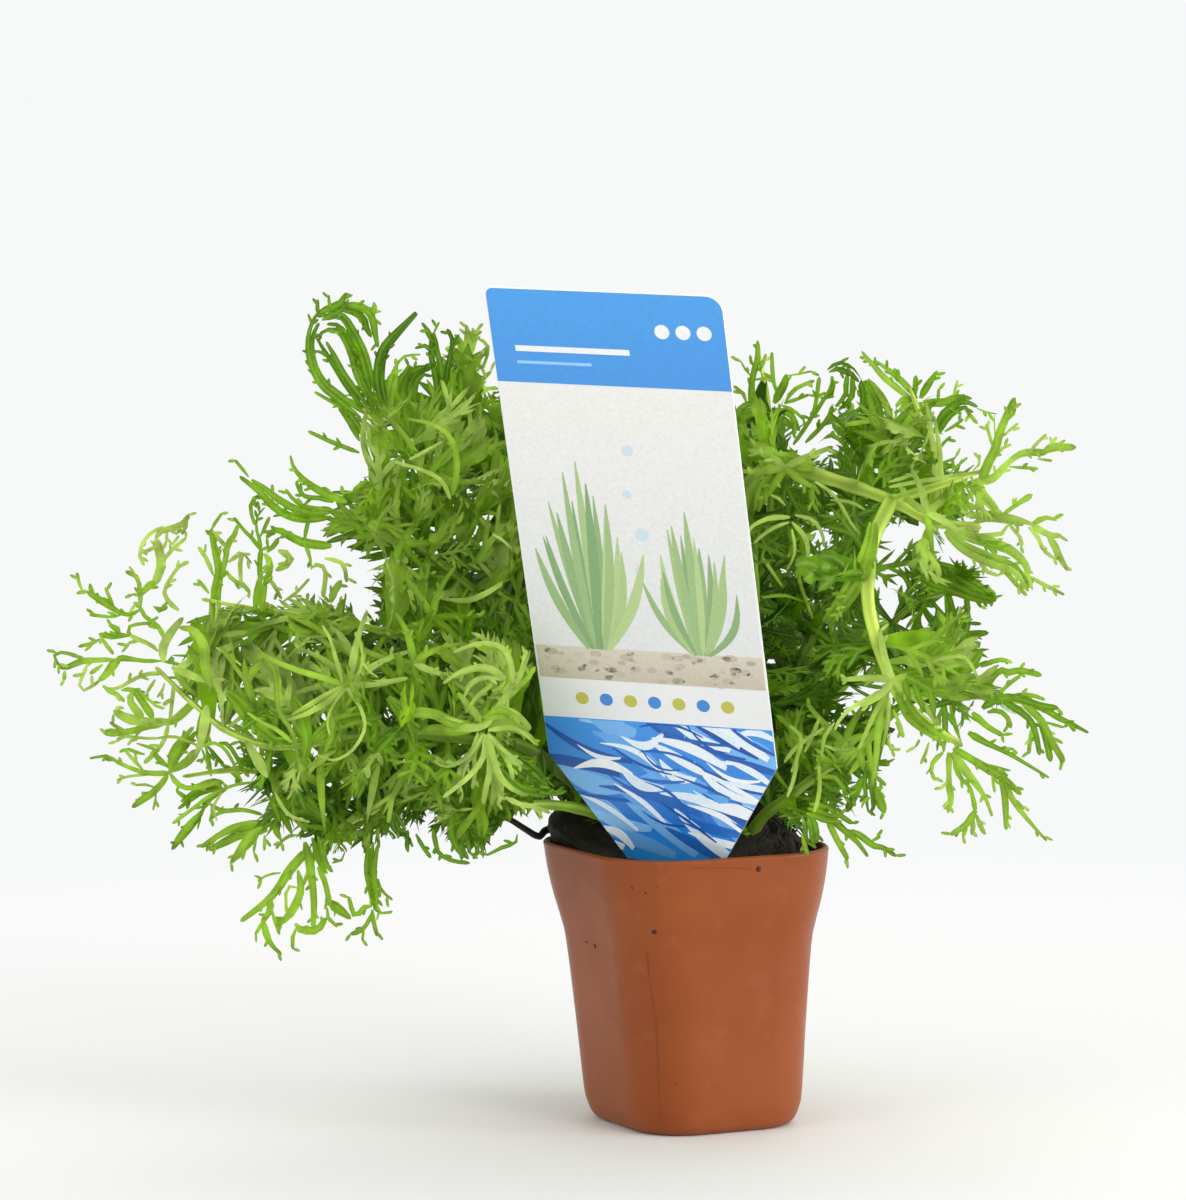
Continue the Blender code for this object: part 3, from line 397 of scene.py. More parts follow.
        [(1.5, 1.7, 1.2, 0.5), (-69, 124), (-73, 125.6), (-75.6, 127), (-78, 129), (-79.5, 131),
         (-80.1, 133.3)],
        [(0.9, 0.7), (-72, 125.8), (-73.8, 127)],
        [(0.9, 0.7), (-69.6, 125.2), (-70, 127.3)],
        [(1.0, 0.8), (-64.8, 128.4), (-66.6, 127.2), (-67.8, 126)]]),
    ("left_mid_3", -14, -22, 0.85, [
        [(2.4, 2.2, 1.3, 1.0), (-94.6, 101), (-94.8, 106), (-94.4, 110), (-95.2, 114), (-96, 118.6)],
        [(0.8, 0.6), (-96, 118.2), (-95, 120), (-93.7, 121.8)],
        [(0.8, 0.8), (-96, 118.6), (-94.6, 117), (-93, 115)],
        [(1.4, 1.1, 1.3, 0.8), (-94.2, 108.6), (-93, 113), (-92.6, 115.6), (-91.4, 117.2), (-90.5, 119.6)],
        [(1.0, 0.8), (-95.6, 109.6), (-96.8, 112.6), (-98.5, 115.1)],
        [(0.9, 0.7), (-96.4, 105.8), (-97.8, 107.6), (-98.7, 108.6)],
        [(0.9, 1.0, 0.8), (-92.6, 112), (-90.6, 113.4), (-89.7, 114.2), (-90.2, 111.6), (-89.9, 106.8)],
        [(0.6, 0.8), (-89.4, 113.7), (-87.9, 111.7)],
        [(0.9, 0.9), (-93, 110.4), (-91.6, 108.4), (-89.6, 107.6), (-88.2, 105.8)],
        [(3.0, 2.4, 1.4), (-86.4, 102), (-86.2, 106), (-85.6, 110)],
        [(1.3, 1.5), (-85.4, 113.8), (-84.2, 111.8), (-84.8, 108.6)],
        [(1.5, 1.7, 1.2), (-82.6, 114.4), (-80.6, 113.4), (-80.4, 111.9), (-83.2, 110.4)],
        [(1.0, 0.7), (-84.6, 109), (-83.2, 107), (-82, 104.6)],
        [(0.9, 1.0), (-76.2, 110.8), (-74.6, 111.6), (-73.2, 110), (-73.8, 105)],
        [(1.0, 0.8), (-73.4, 112.8), (-71.4, 112.4), (-69.6, 111.4), (-69, 108)],
        [(1.6, 1.4), (-72.2, 104), (-71.6, 106), (-70, 108.4)],
        [(0.8, 0.6), (-81.6, 104.2), (-79, 106), (-76.4, 108.8)]]),
    ("left_upper_2", 8, -4, 0.42, [
        [(2.2, 2.6, 2.4, 2.2, 2.8), (-65.6, 141.4), (-70, 144.8), (-73.6, 147.6), (-75.8, 151.6),
         (-76.3, 156), (-75.2, 159.6), (-73.4, 161.6)],
        [(3.2, 2.8, 1.2), (-74, 160.6), (-71, 162.4), (-69.6, 163.6), (-68.5, 165.4)],
        [(1.0, 0.7), (-74.2, 160.8), (-74.7, 162.6), (-74.5, 164.2)],
        [(1.1, 0.9), (-72, 162), (-72.3, 163.6), (-72.4, 165.1)],
        [(1.8, 3.0, 3.2, 1.4), (-70.4, 162.4), (-67, 162), (-64.6, 160.6), (-63.6, 158), (-62.9, 154.6)],
        [(1.5, 1.1), (-64.2, 160.6), (-63.3, 162.2), (-63.5, 163.7)],
        [(1.8, 2.6, 2.6, 1.8), (-65, 143), (-68, 147), (-70.6, 150.4), (-72.6, 153.6), (-74.4, 157)],
        [(1.8, 2.8, 2.8, 2.2, 1.4), (-64.4, 145), (-66.4, 149), (-67.6, 153), (-69.4, 157),
         (-71.6, 158.8), (-74.4, 157.8)],
        [(1.6, 2.4, 2.4, 1.6), (-63.6, 146), (-64.4, 150), (-65.6, 154), (-67.8, 158), (-70, 160.8),
         (-73, 160.6)],
        [(2.2, 2.7, 2.2, 1.7, 0.8), (-61.2, 143), (-62.4, 148), (-62.3, 152), (-61.4, 154.8),
         (-59.6, 157), (-55, 161.7)],
        [(1.0, 0.9, 0.6), (-66.6, 139), (-69, 142.2), (-72, 144), (-75.3, 145.9)],
        [(2.6, 2.0, 1.4), (-65.6, 136.6), (-67.8, 140), (-70.4, 142.8)],
        [(0.9, 1.0, 0.7), (-66.4, 133.8), (-70.6, 135.4), (-73.4, 136.6), (-76.6, 138.1)],
        [(0.9, 0.7, 0.4), (-60.8, 145), (-60, 149), (-58.6, 151.8), (-57.2, 153), (-54.2, 153.3)]]),
    ("left_tall_2", 30, 22, 0.4, [
        [(2.6, 2.4, 1.1, 0.6), (-50, 143), (-50.6, 150), (-51.5, 153.4), (-51.8, 157), (-53.9, 159.7)],
        [(0.6, 0.4), (-51.8, 157), (-51.2, 158.4), (-50.5, 159.8)],
        [(1.6, 1.0, 0.5), (-51.4, 152.8), (-52.8, 155), (-55.4, 154.5)],
        [(2.0, 4.6, 4.0, 1.4), (-56, 143), (-56.4, 147), (-55, 149.6), (-52, 150.6)],
        [(1.6, 2.8, 1.0), (-58.6, 144), (-58.2, 147.6), (-56.2, 151.2)],
        [(1.4, 1.0, 0.9), (-49.4, 147), (-48.6, 152), (-47.9, 156), (-49, 158.4)]]),
    ("left_tall_2", 33, 30, 0.92, [
        [(1.4, 1.1, 0.8), (-45.4, 147), (-45.8, 152), (-46.2, 156), (-47.6, 157.2)],
        [(1.6, 1.3, 0.8), (-44.6, 149), (-44.4, 153), (-44.8, 156.4), (-45.2, 159.2)],
        [(1.0, 0.7), (-45, 150), (-46.6, 153.6), (-48.4, 155.2)],
        [(1.1, 0.8), (-44.8, 154), (-43.8, 157), (-43.9, 158.6)],
        [(0.9, 0.7), (-44.2, 153), (-43.3, 156.6), (-43, 158.4), (-41.8, 159.4)],
        [(0.8, 0.6), (-43.2, 156.6), (-41.6, 155.8), (-40.8, 154.6), (-41.2, 152.6), (-42.2, 150)],
        [(1.2, 0.7), (-42.8, 146.8), (-41.6, 148.8), (-40.2, 150)],
        [(1.0, 0.8), (-42.2, 145.2), (-40.6, 146.8), (-38.8, 146.4)]]),
    ("left_tall_1", 18, 10, 0.95, [
        [(1.4, 1.2, 1.1, 0.9), (-47.7, 126), (-47.5, 130), (-47.6, 134.4), (-48.8, 137.2), (-51, 139),
         (-54.6, 140.2)],
        [(1.4, 1.2, 1.1), (-48, 127.6), (-50, 129), (-52.6, 130.4), (-55.4, 131), (-58, 130.6)],
        [(0.8, 0.7), (-51, 135), (-53.6, 133.6), (-56.4, 132.4)],
        [(1.3, 1.1), (-63, 145.4), (-61.4, 143), (-59.8, 140)]]),
    ("right_vertical_1", 14, 6, 0.6, [
        [(1.8, 1.3, 1.5, 1.2), (11.5, 143), (11.3, 147), (11.8, 150), (12.5, 152.6), (12.4, 156.1)],
        [(0.8, 0.6), (11.2, 149), (10, 150.4), (9.1, 152.1)],
        [(0.8, 0.6), (11.8, 151), (11.2, 151.8), (11, 153.2)],
        [(1.0, 0.7), (12.8, 150), (13.8, 152), (14.1, 153.5)],
        [(0.8, 0.7), (11.8, 148.3), (13.4, 148.5), (15.3, 148.9)],
        [(0.7, 0.9, 0.7), (16.1, 146), (15.5, 149), (15.3, 153.8)],
        [(1.0, 0.7), (10.4, 143.6), (9.6, 145.6), (7.7, 147.1)],
        [(2.8, 4.0, 3.0, 1.3, 1.0), (13.4, 142.4), (10.8, 142.6), (9.2, 141.2), (8.9, 138.6), (9.2, 136.3)],
        [(1.6, 1.9, 1.6), (15.8, 143.6), (17, 146), (17.9, 147.6), (18.3, 149.4)],
        [(0.9, 0.6), (17.8, 143.6), (20.2, 144.4), (22.8, 145.4)],
        [(1.0, 0.8), (18, 143.8), (19.4, 146), (21.4, 147.2), (23.8, 148.1)],
        [(0.5, 0.5), (18.4, 149.1), (20.6, 149.4), (23.2, 150)],
        [(0.9, 0.6), (17.4, 143.2), (19.6, 142.2), (21.8, 140.3)],
        [(1.8, 2.8, 2.0, 1.0), (15, 141.2), (18, 141), (19.8, 139.6), (20.7, 138)]]),
    ("right_top_2", 8, -4, 0.45, [
        [(0.9, 0.9, 1.0), (19.6, 135.4), (21.8, 138.6), (23.4, 141.2), (24.1, 144), (24.7, 148.9)],
        [(1.0, 0.8), (24, 141.4), (25.2, 143.8), (26.6, 145.8), (27.5, 148.2)],
        [(0.9, 1.1), (22, 135.8), (24.6, 138.4), (26.6, 140.8), (27.4, 143.2)],
        [(1.2, 1.9, 2.4, 1.7, 1.0), (26.6, 149.9), (28.4, 150.9), (30, 150.6), (31.6, 149.8), (33.4, 147.4)],
        [(2.2, 2.4, 1.8), (30.6, 150), (30.4, 147.4), (30.6, 145), (28.4, 142.4)],
        [(1.2, 1.0), (27.2, 149), (27.4, 146.4), (26.6, 144.6)],
        [(1.3, 1.1), (33, 148), (33.4, 145), (33, 141.6)]]),
    ("right_top_2", 6, 0, 0.75, [
        [(1.4, 3.2, 4.4, 3.8, 2.0), (33.8, 148.2), (35.2, 145.4), (36.6, 142.4), (37.6, 139.4), (37.4, 134)],
        [(0.9, 0.7), (34.4, 148), (36.4, 145.6), (38.4, 141.8), (39.5, 139.4)]]),
    ("right_rise_1", -16, -22, 0.68, [
        [(2.4, 3.0, 3.1, 2.2, 0.9), (44, 144.4), (40.8, 147.2), (38.2, 149), (35.8, 151.2), (33.1, 154)],
        [(1.4, 0.7), (40.2, 148), (40.3, 150.4)],
        [(1.5, 0.9), (43.6, 145), (43.8, 147.4), (43.8, 149.2)],
        [(1.8, 1.7, 0.6), (44.8, 144.6), (46.2, 147.2), (48.1, 150.1)],
        [(2.0, 2.6, 1.2), (44, 144), (41.4, 143.6), (40.2, 142)],
        [(2.0, 2.8, 2.0), (44.4, 144), (43.2, 140), (41, 136.4)],
        [(1.8, 2.6, 2.2), (44.8, 144), (46, 141), (46.4, 137)],
        [(1.6, 2.0, 0.9), (45.6, 143.8), (49.6, 143.8), (52, 144.9), (55, 144.6)],
        [(0.8, 0.6), (48.2, 144), (48.4, 146.6)],
        [(0.7, 0.5), (51.2, 144.8), (51.8, 147), (52.1, 148.2)]]),
    ("right_rise_1", -18, -24, 0.55, [
        [(1.5, 2.7, 2.8, 1.2), (48.2, 137.4), (49.6, 140.6), (51.6, 142.8), (53.6, 143.7), (56, 142.6)],
        [(0.7, 0.4), (56, 142.6), (58, 141.8), (60.1, 141.5)],
        [(0.7, 0.9), (54, 142.2), (55, 140.8), (56.1, 139.5)],
        [(0.8, 0.6), (49.6, 138), (51.6, 139.2), (53.3, 140.5)],
        [(0.8, 0.5), (48.6, 134.4), (49.6, 136), (50.9, 137.1)],
        [(0.7, 0.5), (48.6, 131.6), (50.4, 132.2), (51.8, 132.8)],
        [(0.7, 0.5), (50.6, 129.8), (52.4, 131.4), (54.2, 132.9)]]),
    ("right_out_1", -26, -32, 0.85, [
        [(2.0, 1.9, 1.7, 1.5, 1.1), (56.8, 128), (58.2, 131.6), (59.6, 134.4), (60.4, 137.4), (61.8, 141),
         (63.5, 144.8)],
        [(1.0, 1.6, 0.8), (61.8, 140), (63, 141.8), (63.6, 144)],
        [(0.7, 0.5), (61, 137), (62.4, 138.2), (64.2, 139.7)],
        [(0.8, 0.5), (60, 133.4), (61.2, 134.8), (62.9, 135.5)],
        [(0.7, 0.7), (59.2, 134.8), (58.4, 137.6), (57.8, 139.6)],
        [(0.7, 0.5), (59.6, 137), (59.4, 140), (59.5, 141.6)],
        [(0.6, 0.5), (55.2, 130.2), (56.4, 131.4), (56.6, 133.5)],
        [(2.2, 1.5, 1.1, 1.6, 1.5), (56.4, 128.2), (59.4, 128.8), (61.6, 131.2), (65, 133.7), (70, 133.8)],
        [(1.4, 1.8, 1.5, 1.3), (69, 133.9), (71, 134.9), (73, 134.9), (75.7, 134.9)],
        [(0.8, 0.6), (66.4, 133.8), (67.8, 135.6), (69.8, 137.5)],
        [(0.8, 0.6), (70.4, 134.8), (71, 136), (71.9, 136.9)],
        [(0.6, 0.7), (62.4, 131), (65.6, 130.8), (68.2, 130.6)],
        [(0.5, 0.6), (68, 132.6), (71, 132.2)],
        [(2.0, 1.7, 1.6), (56, 128.8), (57, 126), (58.6, 124), (60.4, 121.4)],
        [(0.9, 0.8), (51.4, 128.6), (50.7, 126), (51.4, 123.6)],
        [(0.8, 0.7), (53, 128.6), (55.2, 126.4), (56.7, 123.4), (56, 121.6), (54, 120.9)],
        [(0.7, 0.6), (54.2, 121), (52.8, 123), (53.6, 125.4), (52.4, 126.4)]]),
    ("right_thick_2", -24, -32, 0.9, [
        [(3.0, 2.2, 1.4, 1.5, 1.6), (55, 120), (58, 121.2), (60.6, 121), (63.4, 120.6), (67.4, 119.3)],
        [(0.9, 0.9, 1.5), (60.8, 121.2), (63, 122.8), (65, 124.2), (67.1, 125.5)],
        [(1.5, 1.1, 0.7), (67, 119.5), (69, 120.7), (70.2, 120.9), (72, 120.4)],
        [(1.7, 1.3, 1.0), (67, 119.4), (69, 118.2), (70.8, 117.4), (73, 117.3)],
        [(1.4, 1.9, 1.6, 0.8), (70, 117.6), (71.4, 115.6), (72.6, 113), (74.3, 110.3)],
        [(1.0, 0.8), (66.4, 119), (68.2, 117), (69.4, 114.4), (71.6, 112.7)],
        [(0.7, 0.9), (61.8, 120.4), (63.8, 118), (65, 116.4), (64.8, 115)],
        [(2.0, 4.4, 6.0, 6.0, 4.4, 1.8), (50, 118.6), (53.6, 116.2), (58, 114.6), (62, 113.2), (65, 111),
         (67, 106.4)],
        [(1.0, 0.9), (55, 117.2), (58.6, 117.4), (61.6, 117.8)],
        [(1.4, 1.1, 0.7), (57, 114.4), (61.6, 110.4), (64, 107.6), (66.1, 105.3)],
        [(1.0, 0.7), (56.2, 113.2), (57.4, 111), (58.4, 110), (60.6, 109.3)],
        [(0.9, 0.9, 0.5), (66.6, 109.2), (69, 107.8), (71, 106.8), (73.6, 105.5)]]),
    ("right_mid_2", 12, 4, 0.5, [
        [(3.0, 5.4, 6.0, 4.6, 1.2), (43, 111), (48, 109.4), (52, 108.4), (56, 106.4), (60, 104.3)],
        [(1.6, 2.4, 1.0), (46, 111.6), (50.6, 110.8), (56.8, 109.4)],
        [(1.0, 0.7), (55.6, 105.4), (57.1, 102.9)],
        [(1.0, 0.7), (56.6, 107.2), (58.9, 106.8)],
        [(1.4, 1.1), (50.4, 106), (51.2, 103.4), (52, 101)],
        [(1.3, 1.0), (53.8, 105.6), (54.4, 103), (54, 100.6)],
        [(3.0, 4.8, 4.4, 3.0), (53.4, 103), (52.4, 99), (51.4, 95), (52.6, 90.6)],
        [(0.9, 0.7), (54.4, 99.9), (57.1, 99.7)],
        [(1.1, 0.9), (53.2, 96), (55.6, 97.2), (58.6, 98)],
        [(1.8, 1.4), (54.2, 94.6), (57, 96)],
        [(1.2, 0.9, 0.8), (50.2, 91), (52.4, 93), (54.4, 93.1), (55.7, 91.2)]]),
    ("right_side_1", -24, -32, 0.6, [
        [(1.8, 1.7, 1.5, 1.2), (57.4, 82.8), (60, 84.6), (63, 85), (66, 84.4), (69, 83.4), (72.6, 82.9)],
        [(1.2, 0.7), (63.6, 85.2), (67, 85.5), (69.9, 84.5)],
        [(1.3, 1.4, 1.0, 0.5), (66.6, 83.8), (70, 82.6), (72.4, 81), (75, 79.8), (78.6, 77.9)],
        [(0.8, 0.6), (70.2, 80), (72.2, 79.4), (73.6, 79)],
        [(1.6, 1.6, 1.4, 1.3), (65.2, 84.2), (67.6, 82), (69.4, 80), (71.4, 76), (73.8, 72)],
        [(1.5, 1.3, 1.3), (69, 80.4), (70, 77), (71.1, 72.1)],
        [(1.6, 1.3, 1.0), (61.6, 84.2), (64.6, 82.4), (66.8, 80.6), (68, 78), (68.9, 73.4)],
        [(0.9, 0.8), (67.3, 79), (66.9, 76), (66.7, 73.6)],
        [(0.8, 0.6), (71.4, 77), (73.5, 75.8)],
        [(1.1, 1.0), (58.4, 82), (60.4, 82.4), (62.2, 81.3), (63.2, 78.8)],
        [(1.2, 1.4, 1.1), (57.6, 86), (60.4, 90.2), (62.6, 90), (65, 90.4), (69.2, 89.4)],
        [(1.1, 0.9), (57, 91.2), (59.4, 92.2), (62, 92.6), (62.2, 91.6)],
        [(0.9, 1.0), (60.8, 89.8), (58.8, 88.2), (57.2, 86.8)],
        [(0.9, 0.8), (61, 86), (63, 88), (65, 89.4)]]),
    ("right_down_1", -28, -34, 0.75, [
        [(1.6, 1.2, 0.9), (55.4, 82), (58.4, 79.2), (61.7, 77.3)],
        [(1.8, 1.1, 0.8, 0.5), (54.6, 78), (58, 76), (61, 74.6), (64, 73), (70.8, 68.9)],
        [(0.8, 0.9), (61, 74.8), (63.8, 74.6)],
        [(1.6, 1.5, 1.8, 1.5, 0.9), (51.6, 74.8), (55, 72.8), (58, 71), (61.6, 68.8), (65.3, 65.5)],
        [(0.9, 0.7), (57.6, 71.6), (61, 70.8), (63.2, 70.3)],
        [(1.4, 1.0, 0.5), (62, 67.6), (64, 63.8), (67, 60), (70.4, 56.2)],
        [(1.4, 1.5, 0.9), (61, 69.4), (62, 65), (62.3, 58.4)],
        [(0.7, 0.6), (59.4, 69.4), (60, 65.9)],
        [(0.8, 0.7), (64.6, 62.6), (66.2, 63.1)],
        [(1.6, 2.0, 1.4, 0.8, 0.6), (51.4, 74), (54, 70.4), (56.4, 67.4), (58.2, 64.6), (59.5, 61.1)],
        [(1.4, 1.0, 1.0, 2.0), (51.8, 72.4), (53, 69), (55, 67), (56.2, 62)],
        [(1.8, 1.3, 1.0), (56.2, 62.4), (54.4, 59.6), (51.1, 57.4)],
        [(1.2, 1.0), (56.4, 61.4), (57.2, 59), (58.2, 57.5)],
        [(1.2, 0.8), (55.8, 60.4), (55.5, 57.3)],
        [(1.0, 0.9), (54.4, 59.2), (53.6, 56.9)],
        [(1.4, 1.0, 1.4, 0.8), (50.8, 74), (50.8, 70), (50.9, 66.6), (51.3, 64.6), (50.6, 61.8)],
        [(0.8, 0.6), (50.7, 68.2), (48.9, 66.5)],
        [(1.2, 0.9, 0.8), (49.6, 74), (47.6, 72), (47.3, 70), (48.1, 68.3)],
        [(0.8, 0.6), (46.8, 76), (46, 73.4), (45.1, 71.6)],
        [(0.9, 0.8), (44.9, 76.6), (44.2, 75)],
        [(1.1, 0.9), (40.2, 80.2), (41.2, 78.4), (41.7, 76.9)],
        [(0.6, 0.6), (38.9, 77.6), (38.6, 75.8), (39.6, 74.4), (41.2, 74.7)],
        [(1.1, 1.0), (43.6, 85.2), (46, 83.4), (48.9, 79.6)],
        [(2.6, 2.8, 2.4), (40.6, 86), (43, 81.4), (47, 78.4), (51, 75.8)]]),
    ("right_low_1", -22, -28, 0.5, [
        [(2.2, 2.4, 1.8, 1.0), (37.6, 86), (37.8, 80), (37, 76), (36.2, 70)],
        [(1.4, 1.5, 1.0), (36.4, 85), (35.4, 79), (34.2, 75)],
        [(1.2, 1.6), (36, 71.6), (38, 72), (38.9, 71.3)],
        [(1.0, 0.8), (36, 69.4), (38.3, 67.3)],
        [(2.6, 3.4, 2.6, 1.2), (34.8, 71), (35, 67), (35.4, 64), (35.4, 61.2)],
        [(1.6, 2.2, 1.7), (35.4, 67.4), (36.8, 64.8), (38.1, 61.8)],
        [(1.2, 0.8), (35.6, 67), (38.2, 65)],
        [(1.0, 0.9), (35, 65), (33.6, 63.8)],
        [(1.4, 1.8, 1.3), (34, 69.4), (32.4, 66.2), (30.4, 62)],
        [(1.1, 1.0), (25.4, 69), (28, 69), (29.6, 67), (30.2, 64.6)],
        [(1.1, 1.0), (25, 68.4), (28.2, 66)],
        [(3.0, 4.0, 3.0), (22.6, 62.6), (26, 61.6), (29.6, 61.4)],
        [(1.3, 1.3, 1.0), (26.6, 60.6), (28.6, 56.4), (30.8, 52.4)],
        [(1.7, 1.2, 0.7), (27.6, 60.6), (30.4, 58), (32.6, 56), (34.8, 53)],
        [(1.2, 1.5, 1.1, 0.8), (31.4, 58.4), (33.6, 57), (36, 55.2), (38, 54.8), (40.4, 53.1)],
        [(0.7, 0.6), (35.4, 56.2), (37.3, 57.1)],
        [(3.2, 3.8, 1.6), (22.6, 61), (23.4, 57.8), (24.2, 54.8)],
        [(1.0, 0.9), (21.6, 57.4), (22.7, 53.2)],
        [(1.3, 0.9), (28.6, 62), (30.2, 60.6), (31.8, 59.7)]]),
    ("right_thick_1", -8, -16, 0.5, [
        [(2.4, 3.4, 3.2, 2.0, 1.0), (18.4, 120.6), (15, 119), (11.6, 117.8), (8.4, 117.6), (7, 116.8)],
        [(1.0, 0.7), (10, 117.6), (8.6, 119.8), (7.2, 120.4)],
        [(1.0, 0.7), (10.4, 117), (9.4, 114.8), (9.4, 113.8)],
        [(1.2, 1.0, 0.8), (18.6, 120.6), (20.6, 122), (22.8, 122.4)],
        [(1.2, 1.0, 0.9), (18.8, 120.4), (20.8, 118), (21.6, 114.6), (21.2, 111)],
        [(1.4, 1.2, 1.0), (18.4, 120), (19.4, 116.6), (19, 113)],
        [(1.3, 1.1), (18.2, 120), (16.6, 117.4), (14, 115.6)],
        [(1.3, 1.0), (18.8, 121.4), (18.6, 123.6), (17.6, 125.4)]]),
    ("right_down_1", -30, -34, 0.8, [
        [(1.6, 3.4, 5.0, 4.0, 1.4), (41.5, 87.5), (44.5, 91), (48, 95), (51.4, 98.8), (53.8, 101.6)]]),
    ("right_down_1", -33, -33, 0.75, [
        [(2.0, 3.2, 4.4, 3.6, 2.2), (35.3, 120), (34.6, 115), (32.6, 109), (29.4, 103.6), (26.2, 99.6)]]),
    ("right_thick_1", -20, -20, 0.8, [
        [(2.0, 3.4, 4.2, 2.4), (24, 131), (20, 132), (16, 131.6), (12, 129)],
        [(1.6, 2.6, 1.6), (17, 131), (14, 127), (12.5, 122)],
        [(1.4, 2.2, 1.2), (18, 132), (14, 134.6), (10.6, 136)]]),
    ("left_front_1", -30, -27, 0.22, [
        [(2.5, 6.5, 7.5, 4.5, 1.2), (-40, 74.5), (-37, 71.5), (-33.5, 69), (-30, 67), (-27, 65.6)]]),
    ("left_long_2", -33, -38, 0.52, [
        [(1.4, 3.2, 2.8, 1.0), (-93, 86), (-89.5, 82.4), (-86, 79), (-82, 75)],
        [(1.2, 2.6, 2.4, 1.0), (-90, 79), (-86, 81.5), (-81.5, 82.5), (-77, 81)],
        [(1.2, 3.4, 2.8, 1.0), (-80, 85), (-78, 80.5), (-77, 76), (-78, 71.5)],
        [(1.0, 3.0, 2.6, 1.0), (-73, 84), (-71.5, 79.5), (-72, 75.5), (-74, 72)],
        [(1.4, 3.4, 2.6, 1.0), (-76, 76), (-72, 79.2), (-67.5, 81), (-62, 81.4)]]),
    ("left_long_1", -31, -37, 0.48, [
        [(2.2, 3.8, 3.4, 1.6), (-67.5, 65), (-65, 71), (-61.5, 76), (-57, 80.8)],
        [(1.0, 3.0, 2.4, 1.0), (-66, 85), (-65, 80.5), (-64, 76.5), (-64.6, 72.5)],
        [(1.2, 3.4, 2.8, 1.0), (-61, 85), (-58, 81.6), (-56, 78), (-55.6, 73.6)]]),
]

